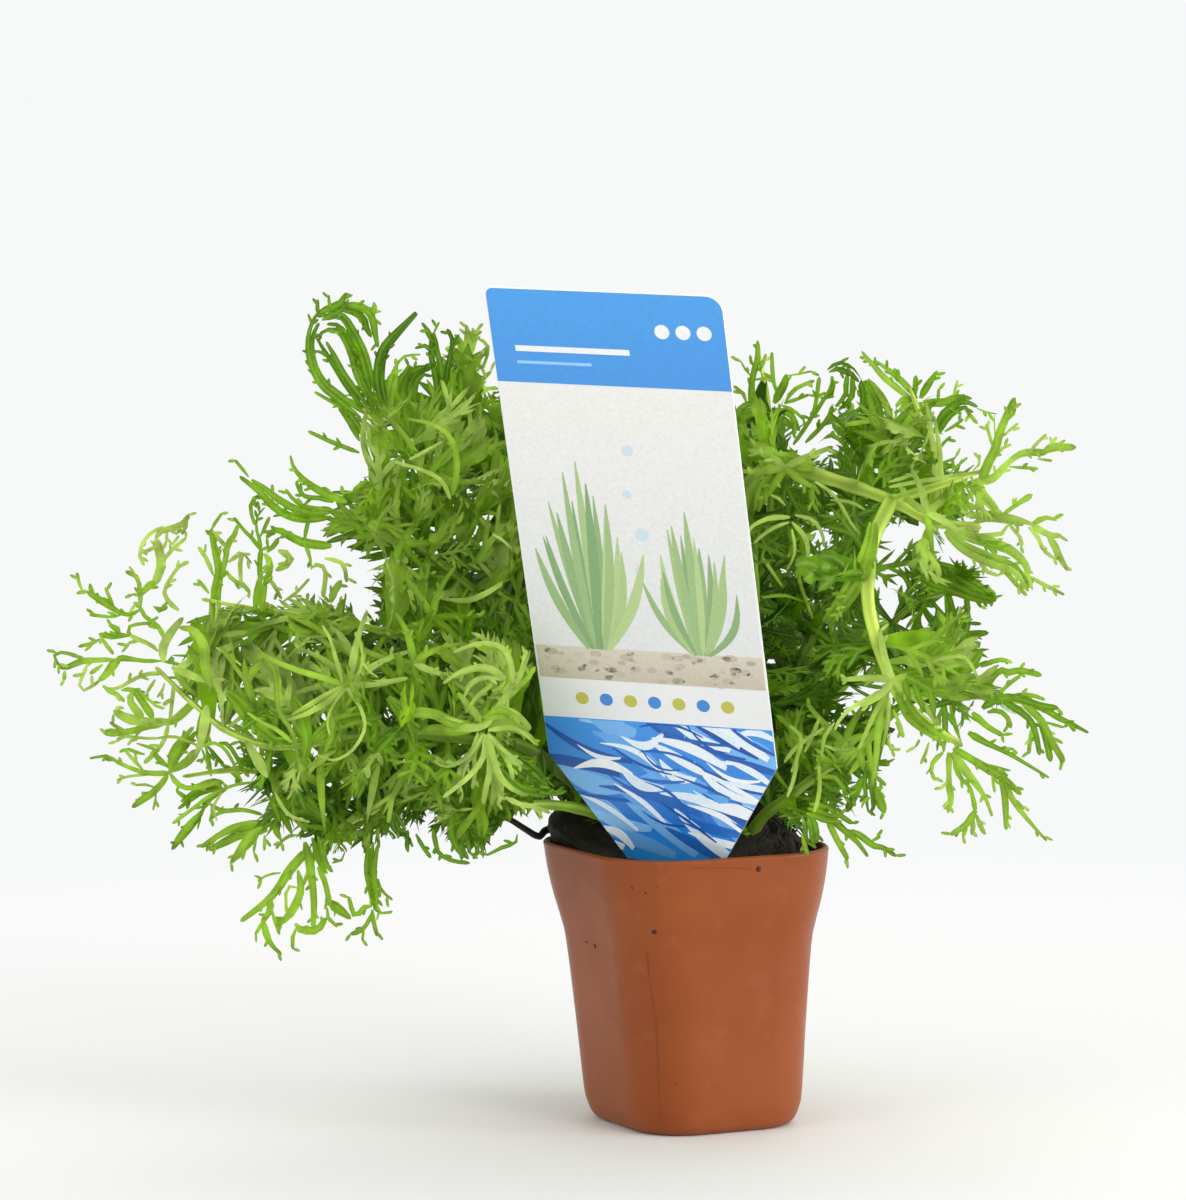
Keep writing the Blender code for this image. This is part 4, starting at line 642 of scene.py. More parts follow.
# Pale smooth strands and young stems that stand out in front of the leaves, written like the
# leaves above.
STRANDS = [
    ("left_long_2", -36, -46, 0.92, [
        [(1.1, 0.9, 0.8, 0.5), (-69.5, 87.5), (-67, 84), (-65.6, 80.5), (-66, 77.5), (-68.5, 74),
         (-72, 72.4), (-75, 73.5)],
        [(1.5, 1.3, 0.7), (-69.5, 87.5), (-71, 92), (-72.5, 97), (-74, 99.5)],
        [(1.6, 1.5, 0.9), (-69.5, 87.5), (-74, 89), (-79, 90.5), (-84, 92.6), (-87, 94.5)],
        [(1.0, 3.2, 2.6, 1.0), (-69.5, 87.5), (-73, 85), (-77, 82.4), (-81, 80.6)],
        [(0.9, 0.8, 0.6), (-69.5, 87.5), (-67, 89.5), (-66, 92), (-66.3, 95.5), (-67.5, 98)],
        [(0.9, 0.7, 0.5), (-66.2, 92.5), (-64.4, 90), (-62.8, 89)],
        [(0.8, 0.7, 0.5), (-69, 87), (-71.5, 84), (-73, 80.5), (-72.5, 77.5)]]),
    ("left_long_2", -40, -44, 0.88, [
        [(1.2, 1.5, 1.3, 0.9), (-86, 94), (-83.4, 90), (-83, 86), (-82.5, 82), (-80, 78), (-79, 73),
         (-79.3, 70.5)],
        [(1.3, 1.1, 0.7), (-80, 76), (-83, 78.5), (-86, 80), (-89, 82)]]),
    ("left_long_3", -30, -38, 0.95, [
        [(1.4, 2.4, 2.6, 2.2, 1.2), (-96, 87), (-97.2, 91), (-97.4, 95), (-99.5, 98.4), (-102.4, 98.9)],
        [(1.8, 2.4, 2.2, 1.4), (-105.5, 92), (-105.6, 95), (-104, 98), (-101.5, 101)],
        [(1.4, 2.0, 1.6, 0.8), (-104, 91), (-101, 89.8), (-97.6, 88.6), (-93.4, 88.6)],
        [(0.7, 0.8, 0.5), (-95, 95), (-92, 93), (-90, 91.4)],
        [(2.0, 2.6, 2.0, 1.0), (-97, 83.5), (-97.5, 79.5), (-98.4, 75.5), (-99.4, 73)]]),
    ("left_low_2", -30, -36, 0.86, [
        [(0.9, 0.9, 0.6), (-83.5, 66), (-82, 63), (-80, 61), (-76.5, 60)],
        [(0.9, 1.0, 0.6), (-81, 64.6), (-79.4, 67.4), (-78.4, 70.5)],
        [(1.2, 2.8, 2.2, 1.0), (-85, 69), (-86.4, 71.5), (-87.8, 74), (-89.4, 76.4)]]),
    ("left_low_3", -18, -26, 0.80, [
        [(0.8, 0.9, 0.6), (-98.6, 75.2), (-101, 76.4), (-104, 77.2), (-107, 76.8)],
        [(0.8, 1.0, 0.7), (-98.2, 75), (-95.6, 75.9), (-93.4, 74.6), (-91.6, 71.6), (-90.4, 68.6)],
        [(0.6, 0.7, 0.5), (-98, 74.4), (-97, 72), (-96.4, 69.6)],
        [(0.9, 1.1, 0.8), (-98.8, 73.4), (-101.4, 71.2), (-104.5, 70)],
        [(1.0, 2.2, 1.4), (-104.5, 70), (-104, 72.6), (-102, 75.6)],
        [(1.2, 1.3, 0.9), (-104.5, 70), (-102.4, 67.2), (-98.4, 67), (-94.6, 68.2)],
        [(1.0, 1.4, 1.0), (-104.5, 70), (-107.4, 66.6), (-111.4, 63.4)],
        [(0.9, 1.0, 0.8), (-103.8, 60), (-100, 62.6), (-96.6, 65.2), (-92, 67.3), (-88, 68)],
        [(0.6, 0.8, 0.5), (-95, 60.2), (-95.8, 63), (-94, 66)],
        [(1.0, 1.6, 1.2), (-97, 64), (-94, 62.3), (-90, 62.5), (-86, 61.5)],
        [(1.0, 2.2, 1.6), (-98.5, 62), (-101, 59), (-103.5, 55.6)],
        [(1.0, 2.2, 1.6), (-87, 60), (-91, 59.3), (-94.5, 57.5), (-97, 54.9)],
        [(1.0, 2.0, 1.4), (-86, 59), (-88.5, 57.5), (-90.5, 54.5), (-92, 52)]]),
    ("left_star_1", -32, -42, 0.97, [
        [(2.4, 2.2, 1.8, 1.4, 1.0), (-50, 79.2), (-46, 79), (-42, 79.3), (-39, 83), (-36.5, 87), (-35, 89.5)],
        [(1.2, 1.0, 0.7), (-59, 80.5), (-55, 81.8), (-51, 81.4), (-46, 80)],
        [(1.5, 1.4, 1.2, 0.8), (-36, 88), (-36.5, 92), (-38.5, 95.2), (-43, 95.8), (-48, 94)],
        [(1.4, 1.2, 0.8), (-38, 89.6), (-41.6, 91.2), (-46, 90.4), (-50, 87.8)],
        [(1.0, 0.9, 0.6), (-38, 88.5), (-41.5, 89), (-44.5, 87.4), (-46, 84.6)],
        [(1.4, 1.2, 0.8), (-40, 87.6), (-43, 85.4), (-45.4, 82)],
        [(1.2, 1.0, 0.7), (-35.6, 88), (-33.8, 91), (-32.6, 94.6)],
        [(1.4, 1.5, 1.2, 0.7), (-41, 78.4), (-37, 79), (-34, 78), (-31.6, 75.6)],
        [(1.2, 1.0, 0.7), (-41, 77.6), (-38.5, 75), (-36, 73), (-34, 71.6)],
        [(1.6, 1.8, 1.5, 0.8), (-41, 77.6), (-40, 73), (-38.5, 69), (-36, 66.5), (-33, 65.3)],
        [(1.6, 1.4, 1.3, 0.9), (-41.4, 77.6), (-42, 73), (-44.5, 69.5), (-48, 66.5), (-50, 65)],
        [(1.0, 0.9, 0.6), (-42, 77.6), (-44.5, 73.5), (-47.5, 71.5), (-50, 71.2), (-52, 72.4)],
        [(1.6, 1.6, 1.3), (-41, 77), (-40.6, 71), (-41.5, 66.5), (-42, 63.6)],
        [(0.9, 0.8, 0.6), (-43, 78), (-44, 75), (-45.5, 71), (-46.5, 67.5)],
        [(1.4, 3.0, 2.4, 1.0), (-42, 80.6), (-39, 81.8), (-36.5, 81), (-34.8, 79.6)],
        [(1.4, 2.0, 1.2), (-42, 80), (-45, 83.5), (-47, 86)]]),
    ("left_upper_2", 4, -2, 0.97, [
        [(2.2, 3.4, 3.6, 2.6, 1.6), (-60.5, 126.5), (-62.8, 130.5), (-65, 135), (-65.4, 139), (-64.4, 143)]]),
    ("left_upper_1", -2, -12, 0.88, [
        [(1.6, 1.7, 1.5, 1.3, 1.0), (-48, 125.6), (-47.2, 129.5), (-47.2, 133), (-48, 136.2),
         (-50, 138.4), (-53, 139.8), (-57, 140.5)],
        [(1.2, 1.1, 0.8), (-48.4, 124.6), (-50, 128), (-53, 130), (-57, 131.3), (-59.5, 132)],
        [(0.9, 0.8, 0.6), (-56.5, 132.4), (-53, 134.4), (-50, 136)]]),
    ("left_upper_low_2", -12, -18, 0.88, [
        [(1.0, 1.6, 1.0), (-49, 104.6), (-45, 104.4), (-41, 106), (-38, 108)],
        [(0.9, 0.9, 0.6), (-40, 117.6), (-38, 116.4), (-36, 114.4)]]),
    ("right_thick_1", -24, -30, 0.90, [
        [(1.2, 1.5, 1.1, 0.7), (19, 121), (15, 120.8), (11.8, 119.4), (10.4, 117.8)],
        [(0.9, 1.0, 0.7), (18.8, 120), (16, 119), (13.6, 117.4), (11.8, 115.8)],
        [(1.0, 1.3, 0.9), (19.4, 120), (22, 117), (22.6, 114), (22.2, 111.4)],
        [(0.9, 1.0, 0.7), (20, 121.4), (23.6, 120.4), (25.4, 117.6), (25.8, 115)],
        [(0.9, 0.9, 0.6), (19.4, 118.6), (20, 114), (18.4, 110.4)],
        [(0.9, 0.9, 0.6), (18, 123.4), (16.4, 125), (15, 125.4)],
        [(0.9, 0.8, 0.6), (24, 128), (27, 126), (29.4, 123), (31, 120), (33, 117.4)],
        [(0.8, 0.9, 0.6), (27, 124.4), (31, 124), (34, 122.4)]]),
    ("right_top_1", 2, -6, 0.78, [
        [(1.0, 1.1, 0.8), (20.4, 112), (21, 108), (22.4, 104), (23.6, 100.6)],
        [(0.9, 0.9, 0.6), (13.6, 113), (15.6, 110), (17.6, 107)],
        [(0.9, 1.0, 0.6), (13.6, 105), (18, 105.4), (22, 104)],
        [(0.8, 0.9, 0.6), (28.4, 106.4), (26, 107.4), (24.4, 106)]]),
    ("right_rise_1", -22, -22, 0.97, [
        [(2.4, 3.0, 2.6, 1.8), (47, 122), (48.3, 127), (48.2, 133), (47.2, 139), (46.2, 144)],
        [(0.9, 0.9, 0.6), (47.4, 142), (46.4, 137.4), (44.4, 133), (42, 130.6)]]),
    ("right_thick_2", -26, -28, 0.97, [
        [(1.0, 1.1, 0.8), (38.6, 127), (44, 128), (49, 128.8), (53, 129.5), (57, 130)],
        [(0.9, 0.9, 0.6), (38.6, 128), (42, 129), (44.6, 130.2)]]),
    ("right_down_1", -33, -40, 0.95, [
        [(1.8, 1.8, 1.5, 1.0), (38.6, 86.6), (37.2, 82), (36.6, 77), (36.2, 72), (35.5, 67)],
        [(1.4, 1.3, 0.9), (38.2, 86), (35.6, 81), (34, 77.4), (32.8, 74.6)],
        [(1.2, 1.1, 0.7), (37.8, 86.6), (34, 84.4), (31, 82.6), (29, 80.5), (28, 78.4)],
        [(1.2, 1.1, 0.7), (38.8, 85), (38.5, 80), (37.6, 75)],
        [(0.6, 0.6, 0.5), (39, 78), (38.8, 75.6), (40, 74.5), (41.2, 74.8)],
        [(0.9, 1.0, 0.7), (39.6, 82.6), (41, 79.6), (41.8, 77)],
        [(0.9, 1.0, 0.7), (45, 91), (49, 92.7), (53.4, 93.2), (55.2, 91.4), (56.6, 88.6)]]),
    ("right_low_1", -26, -32, 0.84, [
        [(1.0, 1.1, 0.7), (18, 72), (20, 74.6), (22.4, 76.6), (26, 79)],
        [(1.0, 1.1, 0.7), (19, 79.4), (21.4, 77), (20.6, 73), (19.4, 70)],
        [(1.0, 1.1, 0.7), (25, 81), (23.6, 77.4), (22, 74)],
        [(1.0, 1.0, 0.7), (28, 80), (26, 77), (25.4, 73)],
        [(0.9, 1.0, 0.7), (26, 75.4), (29, 74.4), (32, 75)],
        [(1.2, 1.6, 1.2), (31, 69.6), (33.6, 73.4), (35, 77)],
        [(0.9, 1.0, 0.7), (18.6, 65), (20, 69), (20.6, 73)],
        [(1.0, 1.1, 0.7), (24, 62), (25, 66), (25, 70), (24.5, 73)]]),
]


# Objects and meshes


def add_object(name, data):
    """A new object with this data, placed in the scene."""
    obj = bpy.data.objects.new(name, data)
    bpy.context.scene.collection.objects.link(obj)
    return obj


def mesh_object(name, points, faces, surface, smooth=True):
    """A new object with a mesh of these points and faces."""
    mesh = bpy.data.meshes.new(name)
    mesh.from_pydata([tuple(point) for point in points], [], [tuple(face) for face in faces])
    mesh.polygons.foreach_set("use_smooth", [smooth] * len(mesh.polygons))
    mesh.materials.append(surface)
    return add_object(name, mesh)


def baked_mesh(name, shape):
    """A mesh from a finished bmesh, which is then freed."""
    mesh = bpy.data.meshes.new(name)
    shape.to_mesh(mesh)
    shape.free()
    return mesh


def finish_piece(obj, slot, *nodes):
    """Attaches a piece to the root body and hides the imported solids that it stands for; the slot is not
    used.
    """
    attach(obj, "root")
    if nodes:
        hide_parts(*nodes)


def add_attribute(obj, name, rows):
    """Gives each point of a mesh a row of four numbers that its material reads."""
    layer = obj.data.color_attributes.new(name=name, type="FLOAT_COLOR", domain="POINT")
    layer.data.foreach_set("color", np.asarray(rows, np.float32).ravel())


def loft_faces(rings, around):
    """The faces of an open tube of rings."""
    faces = []
    for ring in range(rings - 1):
        for index in range(around):
            after = (index + 1) % around
            low, high = ring * around, (ring + 1) * around
            faces.append((low + index, low + after, high + after, high + index))
    return faces


def closed_loft(rings, around):
    """The faces of a tube of rings, closed at both ends."""
    first = (rings - 1) * around
    return loft_faces(rings, around) + [tuple(reversed(range(around))), tuple(range(first, first + around))]


def moved(faces, base):
    """Faces whose corners are counted on from a base."""
    return [tuple(base + corner for corner in face) for face in faces]


def frames(line):
    """The direction and two directions across it at each point of a line, without a twist."""
    normal = None
    for index in range(len(line)):
        before, after = line[max(0, index - 1)], line[min(len(line) - 1, index + 1)]
        ahead = (after - before).normalized()
        if normal is None:
            normal = ahead.orthogonal().normalized()
        normal = (normal - ahead * normal.dot(ahead)).normalized()
        yield ahead, normal, ahead.cross(normal)


def add_tube(points, faces, line, radii, sides):
    """Adds a closed tube along a line to a mesh in the making."""
    base = len(points)
    for place, radius, (_, normal, side) in zip(line, radii, frames(line)):
        for step in range(sides):
            angle = 2 * math.pi * step / sides
            points.append(place + (normal * math.cos(angle) + side * math.sin(angle)) * radius)
    faces += moved(closed_loft(len(line), sides), base)


def on_curve(before, start, end, after, t):
    """A point of the smooth curve through four others, at a share t of the way from start to end."""
    return 0.5 * (
        2 * start + (end - before) * t + (2 * before - 5 * start + 4 * end - after) * t ** 2
        + (3 * start - before - 3 * end + after) * t ** 3)


def smooth_levels(levels, steps):
    """More levels, on the smooth curve through the given ones."""
    ends = [levels[0]] + levels + [levels[-1]]
    fine = []
    for index in range(1, len(ends) - 2):
        before, start, end, after = (np.array(level) for level in ends[index - 1:index + 3])
        for part in range(steps):
            level = on_curve(before, start, end, after, part / steps)
            fine.append(tuple(float(value) for value in level))
    fine.append(levels[-1])
    return fine


def fine_route(points, per_span=8):
    """The smooth curve through a route's own points, in metres."""
    marks = [Vector(point) * MM for point in points]
    ends = [marks[0] * 2 - marks[1]] + marks + [marks[-1] * 2 - marks[-2]]
    fine = [marks[0]]
    for index in range(1, len(ends) - 2):
        before, start, end, after = ends[index - 1:index + 3]
        for part in range(1, per_span + 1):
            fine.append(on_curve(before, start, end, after, part / per_span))
    return fine


def seen_at(point):
    """Where a point shows on the plane y = 0, as the camera sees it, in millimetres."""
    share = -CAMERA_PLACE.y / (point[1] - CAMERA_PLACE.y)
    x = CAMERA_PLACE.x + (point[0] - CAMERA_PLACE.x) * share
    z = CAMERA_PLACE.z + (point[2] - CAMERA_PLACE.z) * share
    return x / MM, z / MM


def seen_point(x, z, depth):
    """The point at a depth y that shows at (x, z) on the plane y = 0, from millimetres."""
    mark = Vector((x, 0, z)) * MM
    return CAMERA_PLACE + (mark - CAMERA_PLACE) * ((depth * MM - CAMERA_PLACE.y) / -CAMERA_PLACE.y)


# Materials


class Surface:
    """A material and short ways to add nodes to it."""

    def __init__(self, name, **settings):
        self.material = bpy.data.materials.new(name)
        self.material.use_nodes = True
        self.tree = self.material.node_tree
        self.shader = self.tree.nodes["Principled BSDF"]
        for key, value in settings.items():
            self.shader.inputs[key.replace("_", " ").title().replace("Ior", "IOR")].default_value = value

    def node(self, kind, inputs=None, **settings):
        """A new node, with its inputs linked to sockets or set to values."""
        made = self.tree.nodes.new(kind)
        for key, value in settings.items():
            setattr(made, key, value)
        for key, value in (inputs or {}).items():
            if isinstance(value, bpy.types.NodeSocket):
                self.tree.links.new(value, made.inputs[key])
            else:
                made.inputs[key].default_value = value
        return made

    def place(self):
        return self.node("ShaderNodeTexCoord").outputs["Object"]

    def noise(self, scale, detail=3.0, roughness=0.55, distortion=0.0):
        made = self.node("ShaderNodeTexNoise", {
            "Vector": self.place(), "Scale": scale, "Detail": detail, "Roughness": roughness,
            "Distortion": distortion})
        return made.outputs["Fac"]

    def ramp(self, factor, stops):
        """A factor turned to colours or greys by stops."""
        made = self.node("ShaderNodeValToRGB", {"Fac": factor})
        while len(made.color_ramp.elements) < len(stops):
            made.color_ramp.elements.new(0.5)
        for element, (place, color) in zip(made.color_ramp.elements, stops):
            element.position = place
            element.color = (*color, 1.0) if isinstance(color, tuple) else (color, color, color, 1.0)
        return made.outputs["Color"]

    def mix(self, factor, first, second, blend="MIX"):
        """Two colours mixed by a factor."""
        made = self.node("ShaderNodeMix", data_type="RGBA", blend_type=blend)
        for index, value in ((0, factor), (6, first), (7, second)):
            if isinstance(value, bpy.types.NodeSocket):
                self.tree.links.new(value, made.inputs[index])
            else:
                made.inputs[index].default_value = value if index == 0 else (*value, 1.0)
        return made.outputs[2]

    def math(self, operation, first, second=0.0):
        made = self.node("ShaderNodeMath", {0: first, 1: second}, operation=operation)
        return made.outputs[0]

    def bump(self, height, strength, distance):
        made = self.node("ShaderNodeBump", {"Height": height, "Strength": strength, "Distance": distance})
        self.tree.links.new(made.outputs["Normal"], self.shader.inputs["Normal"])

    def color(self, socket):
        self.tree.links.new(socket, self.shader.inputs["Base Color"])

    def roughness(self, socket):
        self.tree.links.new(socket, self.shader.inputs["Roughness"])

    def mottle(self, scale, dark, light):
        """Colours the surface in soft patches between two colours."""
        self.color(self.ramp(self.noise(scale), [(0.3, dark), (0.7, light)]))

    def channels(self, attribute):
        """The three channels of one of the mesh's own attributes."""
        source = self.node("ShaderNodeAttribute", attribute_name=attribute)
        parts = self.node("ShaderNodeSeparateColor", {"Color": source.outputs["Color"]})
        return [parts.outputs[index] for index in range(3)]

    def mix_in(self, other, share):
        """Mixes another shader in by a share."""
        both = self.node("ShaderNodeMixShader", {0: share})
        self.tree.links.new(self.shader.outputs[0], both.inputs[1])
        self.tree.links.new(other.outputs[0], both.inputs[2])
        self.tree.links.new(both.outputs[0], self.tree.nodes["Material Output"].inputs["Surface"])

    def see_through(self, color, share):
        """Lets a share of the light through, in a colour of its own."""
        self.mix_in(self.node("ShaderNodeBsdfTranslucent", {"Color": color}), share)


def leaf_surface():
    """Green by the leaf's youth, which for the leaves set by chance also holds painted shade deep in the
    foliage, with a paler rib, darker tips and uneven patches.
    """
    made = Surface("leaf", roughness=0.5, specular_ior_level=0.12)
    tip, young, rib = made.channels("growth")
    green = made.ramp(young, [
        (0.0, (0.030, 0.100, 0.002)), (0.3, (0.135, 0.345, 0.005)), (0.6, (0.320, 0.590, 0.012)),
        (0.85, (0.465, 0.705, 0.060)), (1.0, (0.650, 0.815, 0.200))])
    patches = made.ramp(made.noise(210.0), [(0.3, 0.66), (0.7, 1.16)])
    green = made.mix(1.0, green, patches, "MULTIPLY")
    pale = made.math("MULTIPLY", made.math("POWER", rib, 3.0), 0.42)
    green = made.mix(pale, green, (0.60, 0.76, 0.24))
    dark = made.math("MULTIPLY", made.math("POWER", tip, 4.0), 0.62)
    green = made.mix(dark, green, (0.09, 0.14, 0.03))
    made.color(green)
    made.bump(made.noise(900.0, 2.0), 0.2, 0.0002)
    lit = made.mix(0.32, green, (0.60, 0.84, 0.03))
    made.see_through(lit, 0.46)
    return made.material


def stem_surface():
    """Pale yellow-green flesh with fine lengthwise streaks, greener and darker towards the foot."""
    made = Surface("stem", roughness=0.45, specular_ior_level=0.2)
    around, young, node_ring = made.channels("growth")
    flesh = made.ramp(young, [
        (0.0, (0.035, 0.075, 0.008)), (0.35, (0.28, 0.48, 0.040)), (1.0, (0.72, 0.90, 0.150))])
    streaks = made.ramp(around, [(0.2, 0.80), (0.8, 1.18)])
    flesh = made.mix(1.0, flesh, streaks, "MULTIPLY")
    patches = made.ramp(made.noise(150.0), [(0.3, 0.82), (0.7, 1.12)])
    flesh = made.mix(1.0, flesh, patches, "MULTIPLY")
    flesh = made.mix(made.math("MULTIPLY", node_ring, 0.5), flesh, (0.16, 0.24, 0.05))
    made.color(flesh)
    made.bump(made.noise(700.0, 2.0), 0.2, 0.0002)
    made.see_through(flesh, 0.18)
    return made.material


def pot_surface():
    """Satin terracotta-coloured plastic, a little mottled and dusty, with a fine moulded grain."""
    made = Surface("terracotta_plastic", roughness=0.38, specular_ior_level=0.22)
    patches = made.noise(45.0, 4.0)
    color = made.ramp(patches, [(0.25, (0.238, 0.052, 0.0095)), (0.75, (0.284, 0.070, 0.0150))])
    dust = made.ramp(made.noise(160.0, 5.0, 0.7), [(0.55, 0.0), (0.78, 1.0)])
    color = made.mix(made.math("MULTIPLY", dust, 0.14), color, (0.46, 0.20, 0.11))
    made.color(color)
    made.roughness(made.ramp(made.noise(70.0), [(0.3, 0.32), (0.7, 0.43)]))
    made.bump(made.noise(1500.0, 2.0), 0.18, 0.0001)
    return made.material


def dirt_surface():
    """The dark specks of dirt on the pot."""
    made = Surface("dirt", roughness=0.9)
    made.mottle(500.0, (0.052, 0.009, 0.003), (0.090, 0.017, 0.005))
    return made.material


def seam_surface():
    """The moulding lines, a little darker than the pot they stand on: painted shade of the crease at the
    pot's corner and of the step under its collar.
    """
    made = Surface("terracotta_line", roughness=0.5, specular_ior_level=0.2)
    # Painted shade: the lines are coloured darker than the pot.
    made.mottle(300.0, (0.190, 0.044, 0.011), (0.235, 0.056, 0.015))
    return made.material


def medium_surface():
    """Dark fibre, from near black to brown; the near-black is painted shade of the foliage over it."""
    made = Surface("dark_fibre", roughness=0.85)
    # The ramp's near-black end is painted shade, darker than the fibre itself.
    made.color(made.ramp(made.noise(420.0, 6.0, 0.7), [
        (0.30, (0.006, 0.005, 0.003)), (0.55, (0.020, 0.014, 0.008)), (0.80, (0.075, 0.048, 0.026))]))
    made.bump(made.noise(800.0, 5.0), 0.8, 0.0006)
    return made.material


def sheet_surface():
    """The label's plain white plastic, seen at its edges and its back."""
    made = Surface("label_plastic", roughness=0.30)
    made.mottle(60.0, (0.78, 0.79, 0.79), (0.84, 0.85, 0.85))
    made.bump(made.noise(900.0, 2.0), 0.05, 0.0001)
    return made.material


def ink_surface():
    """Printed colours under a satin film, each patch a little uneven."""
    made = Surface("label_print", roughness=0.32)
    ink = made.node("ShaderNodeAttribute", attribute_name="ink")
    grain = made.ramp(made.noise(1400.0, 2.0), [(0.3, 0.95), (0.7, 1.04)])
    made.color(made.mix(1.0, ink.outputs["Color"], grain, "MULTIPLY"))
    made.bump(made.noise(900.0, 2.0), 0.04, 0.0001)
    return made.material


# Pot and medium


def rounded_square(flats, height, shift_y=0.0, steps=12):
    """One level of the pot in metres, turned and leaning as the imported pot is."""
    radius = flats * CORNER_SHARE
    half = flats / 2 - radius
    points = []
    for quarter in range(4):
        middle = math.radians(45 + 90 * quarter)
        corner = Vector((math.copysign(half, math.cos(middle)), math.copysign(half, math.sin(middle))))
        for step in range(steps + 1):
            angle = math.radians(90) * (quarter + step / steps)
            points.append(corner + radius * Vector((math.cos(angle), math.sin(angle))))
    turn = Matrix.Rotation(POT_TURN, 3, "Z")
    shift = Vector((POT_LEAN * height, shift_y, height))
    return [(turn @ point.to_3d() + shift) * MM for point in points]


def make_pot(surface, dirt):
    """A thin shell: up the outside, over the rounded rim and down the inside."""
    outer = smooth_levels(POT_LEVELS, 4)
    foot_flats, rim_flats = POT_LEVELS[0][0], POT_LEVELS[-1][0]
    profile = [(foot_flats * share, 0.0) for share in (0.30, 0.70, 0.97)]
    profile += [(flats, height) for flats, height in outer[:-1]]
    half_wall = POT_WALL / 2
    for step in range(7):
        angle = math.pi * step / 6
        profile.append((
            rim_flats - POT_WALL + POT_WALL * math.cos(angle),
            POT_HEIGHT - half_wall + half_wall * math.sin(angle)))
    inner_top = POT_HEIGHT - RIM_ROUNDING
    inner = [
        (flats - 2 * POT_WALL, height) for flats, height in reversed(outer) if POT_WALL < height < inner_top]
    profile += inner
    profile += [(inner[-1][0] * share, POT_WALL) for share in (0.97, 0.6, 0.3)]
    rings = [rounded_square(flats, height) for flats, height in profile]
    points = [point for ring in rings for point in ring]
    pot = mesh_object("pot_shell", points, closed_loft(len(rings), len(rings[0])), surface)
    drain_holes(pot)
    pot.data.set_sharp_from_angle(angle=math.radians(50))
    finish_piece(pot, "pot", "pot")
    mark_pot(pot, seam_surface(), dirt)


# The pot's marks, as the camera sees them on the plane y = 0, in millimetres: two moulding lines
# with their radii, and specks with their half width and half height.
SEAM = [(-6.6, 0.7), (-7.0, 8), (-7.5, 19), (-8.7, 27.5), (-9.3, 33.6)]
COLLAR_LINE = [(0, 50.7), (4, 50.8), (8, 50.7), (12, 50.6)]
LINE_RADII = (0.13, 0.08)
SPECK_SIDES = 9
SPECKS = [
    (-12.3, 46.8, 0.34, 0.26), (-9.6, 45.8, 0.34, 0.30), (-7.2, 46.9, 0.20, 0.16),
    (-7.8, 37.9, 0.70, 0.58), (-19.7, 35.1, 0.64, 0.74), (12.9, 50.6, 0.76, 0.80),
    (-21.4, 35.9, 1.00, 0.16),
    (-3.4, 7.3, 0.22, 0.22), (4.0, 22.0, 0.14, 0.12), (-15.0, 26.0, 0.12, 0.14),
]


def mark_pot(pot, seam, dirt):
    """Two fine moulding lines, darker with painted shade, and a few specks of dirt on the pot's front."""
    tree = BVHTree.FromPolygons(
        [tuple(vertex.co) for vertex in pot.data.vertices],
        [tuple(polygon.vertices) for polygon in pot.data.polygons])

    def on_pot(x, z):
        ahead = (seen_point(x, z, 0) - CAMERA_PLACE).normalized()
        return tree.ray_cast(CAMERA_PLACE, ahead)[:2]

    points, faces = [], []
    for marks, radius in zip((SEAM, COLLAR_LINE), LINE_RADII):
        line = [on_pot(*mark)[0] for mark in smooth_levels(marks, 6)]
        add_tube(points, faces, line, [radius * MM] * len(line), 6)
    finish_piece(mesh_object("moulding_lines", points, faces, seam), "pot")
    points, faces = [], []
    for x, z, wide, tall in SPECKS:
        place, normal = on_pot(x, z)
        across = UP.cross(normal).normalized()
        upward = normal.cross(across)
        faces += moved(closed_loft(2, SPECK_SIDES), len(points))
        for depth in (-0.05, 0.05):
            for step in range(SPECK_SIDES):
                angle = 2 * math.pi * step / SPECK_SIDES
                seed = Vector((x * 7 + math.cos(angle), z * 7 + math.sin(angle), 0))
                reach = 0.75 + 0.35 * noise.noise(seed)
                spot = across * math.cos(angle) * wide + upward * math.sin(angle) * tall
                points.append(place + (spot * reach + normal * depth) * MM)
    finish_piece(mesh_object("pot_specks", points, faces, dirt), "pot")


def drain_holes(pot):
    """Cuts the holes in the foot."""
    shape = bmesh.new()
    radius, depth = DRAIN_RADIUS * MM, 5 * POT_WALL * MM
    for index in range(DRAIN_HOLES):
        angle = POT_TURN + 2 * math.pi * (index + 0.5) / DRAIN_HOLES
        place = Matrix.Translation(Vector((math.cos(angle), math.sin(angle), 0)) * DRAIN_CIRCLE * MM)
        bmesh.ops.create_cone(
            shape, cap_ends=True, segments=24, radius1=radius, radius2=radius, depth=depth, matrix=place)
    cutter = add_object("holes", baked_mesh("holes", shape))
    modifier = pot.modifiers.new("holes", "BOOLEAN")
    modifier.object = cutter
    graph = bpy.context.evaluated_depsgraph_get()
    pot.data = bpy.data.meshes.new_from_object(pot.evaluated_get(graph))
    pot.modifiers.clear()
    bpy.data.objects.remove(cutter, do_unlink=True)


# The growing medium's levels: share of the pot's inside, height and set-back in millimetres.
MEDIUM_LEVELS = [
    (0.97, 6.0, 0.0), (0.97, 30.0, 0.0), (0.97, 45.0, 0.0), (0.97, 52.5, 0.0), (0.90, 55.0, 0.5),
    (0.80, 57.2, 2.0), (0.68, 59.8, 4.5), (0.54, 61.6, 5.6), (0.38, 62.8, 6.0), (0.20, 63.4, 6.0),
    (0.06, 63.6, 6.0),
]


def inside_flats(height):
    """The pot's inside size across the flats at a height, both in millimetres."""
    heights = [level[1] for level in POT_LEVELS]
    flats = [level[0] for level in POT_LEVELS]
    return float(np.interp(height, heights, flats)) - 2 * POT_WALL


# The medium's lumps: how fine they are, and in millimetres how high they are and above what
# height the medium has them.
LUMP_FINENESS = 420
LUMP_HEIGHT = 1.1
LUMPY_ABOVE = 53

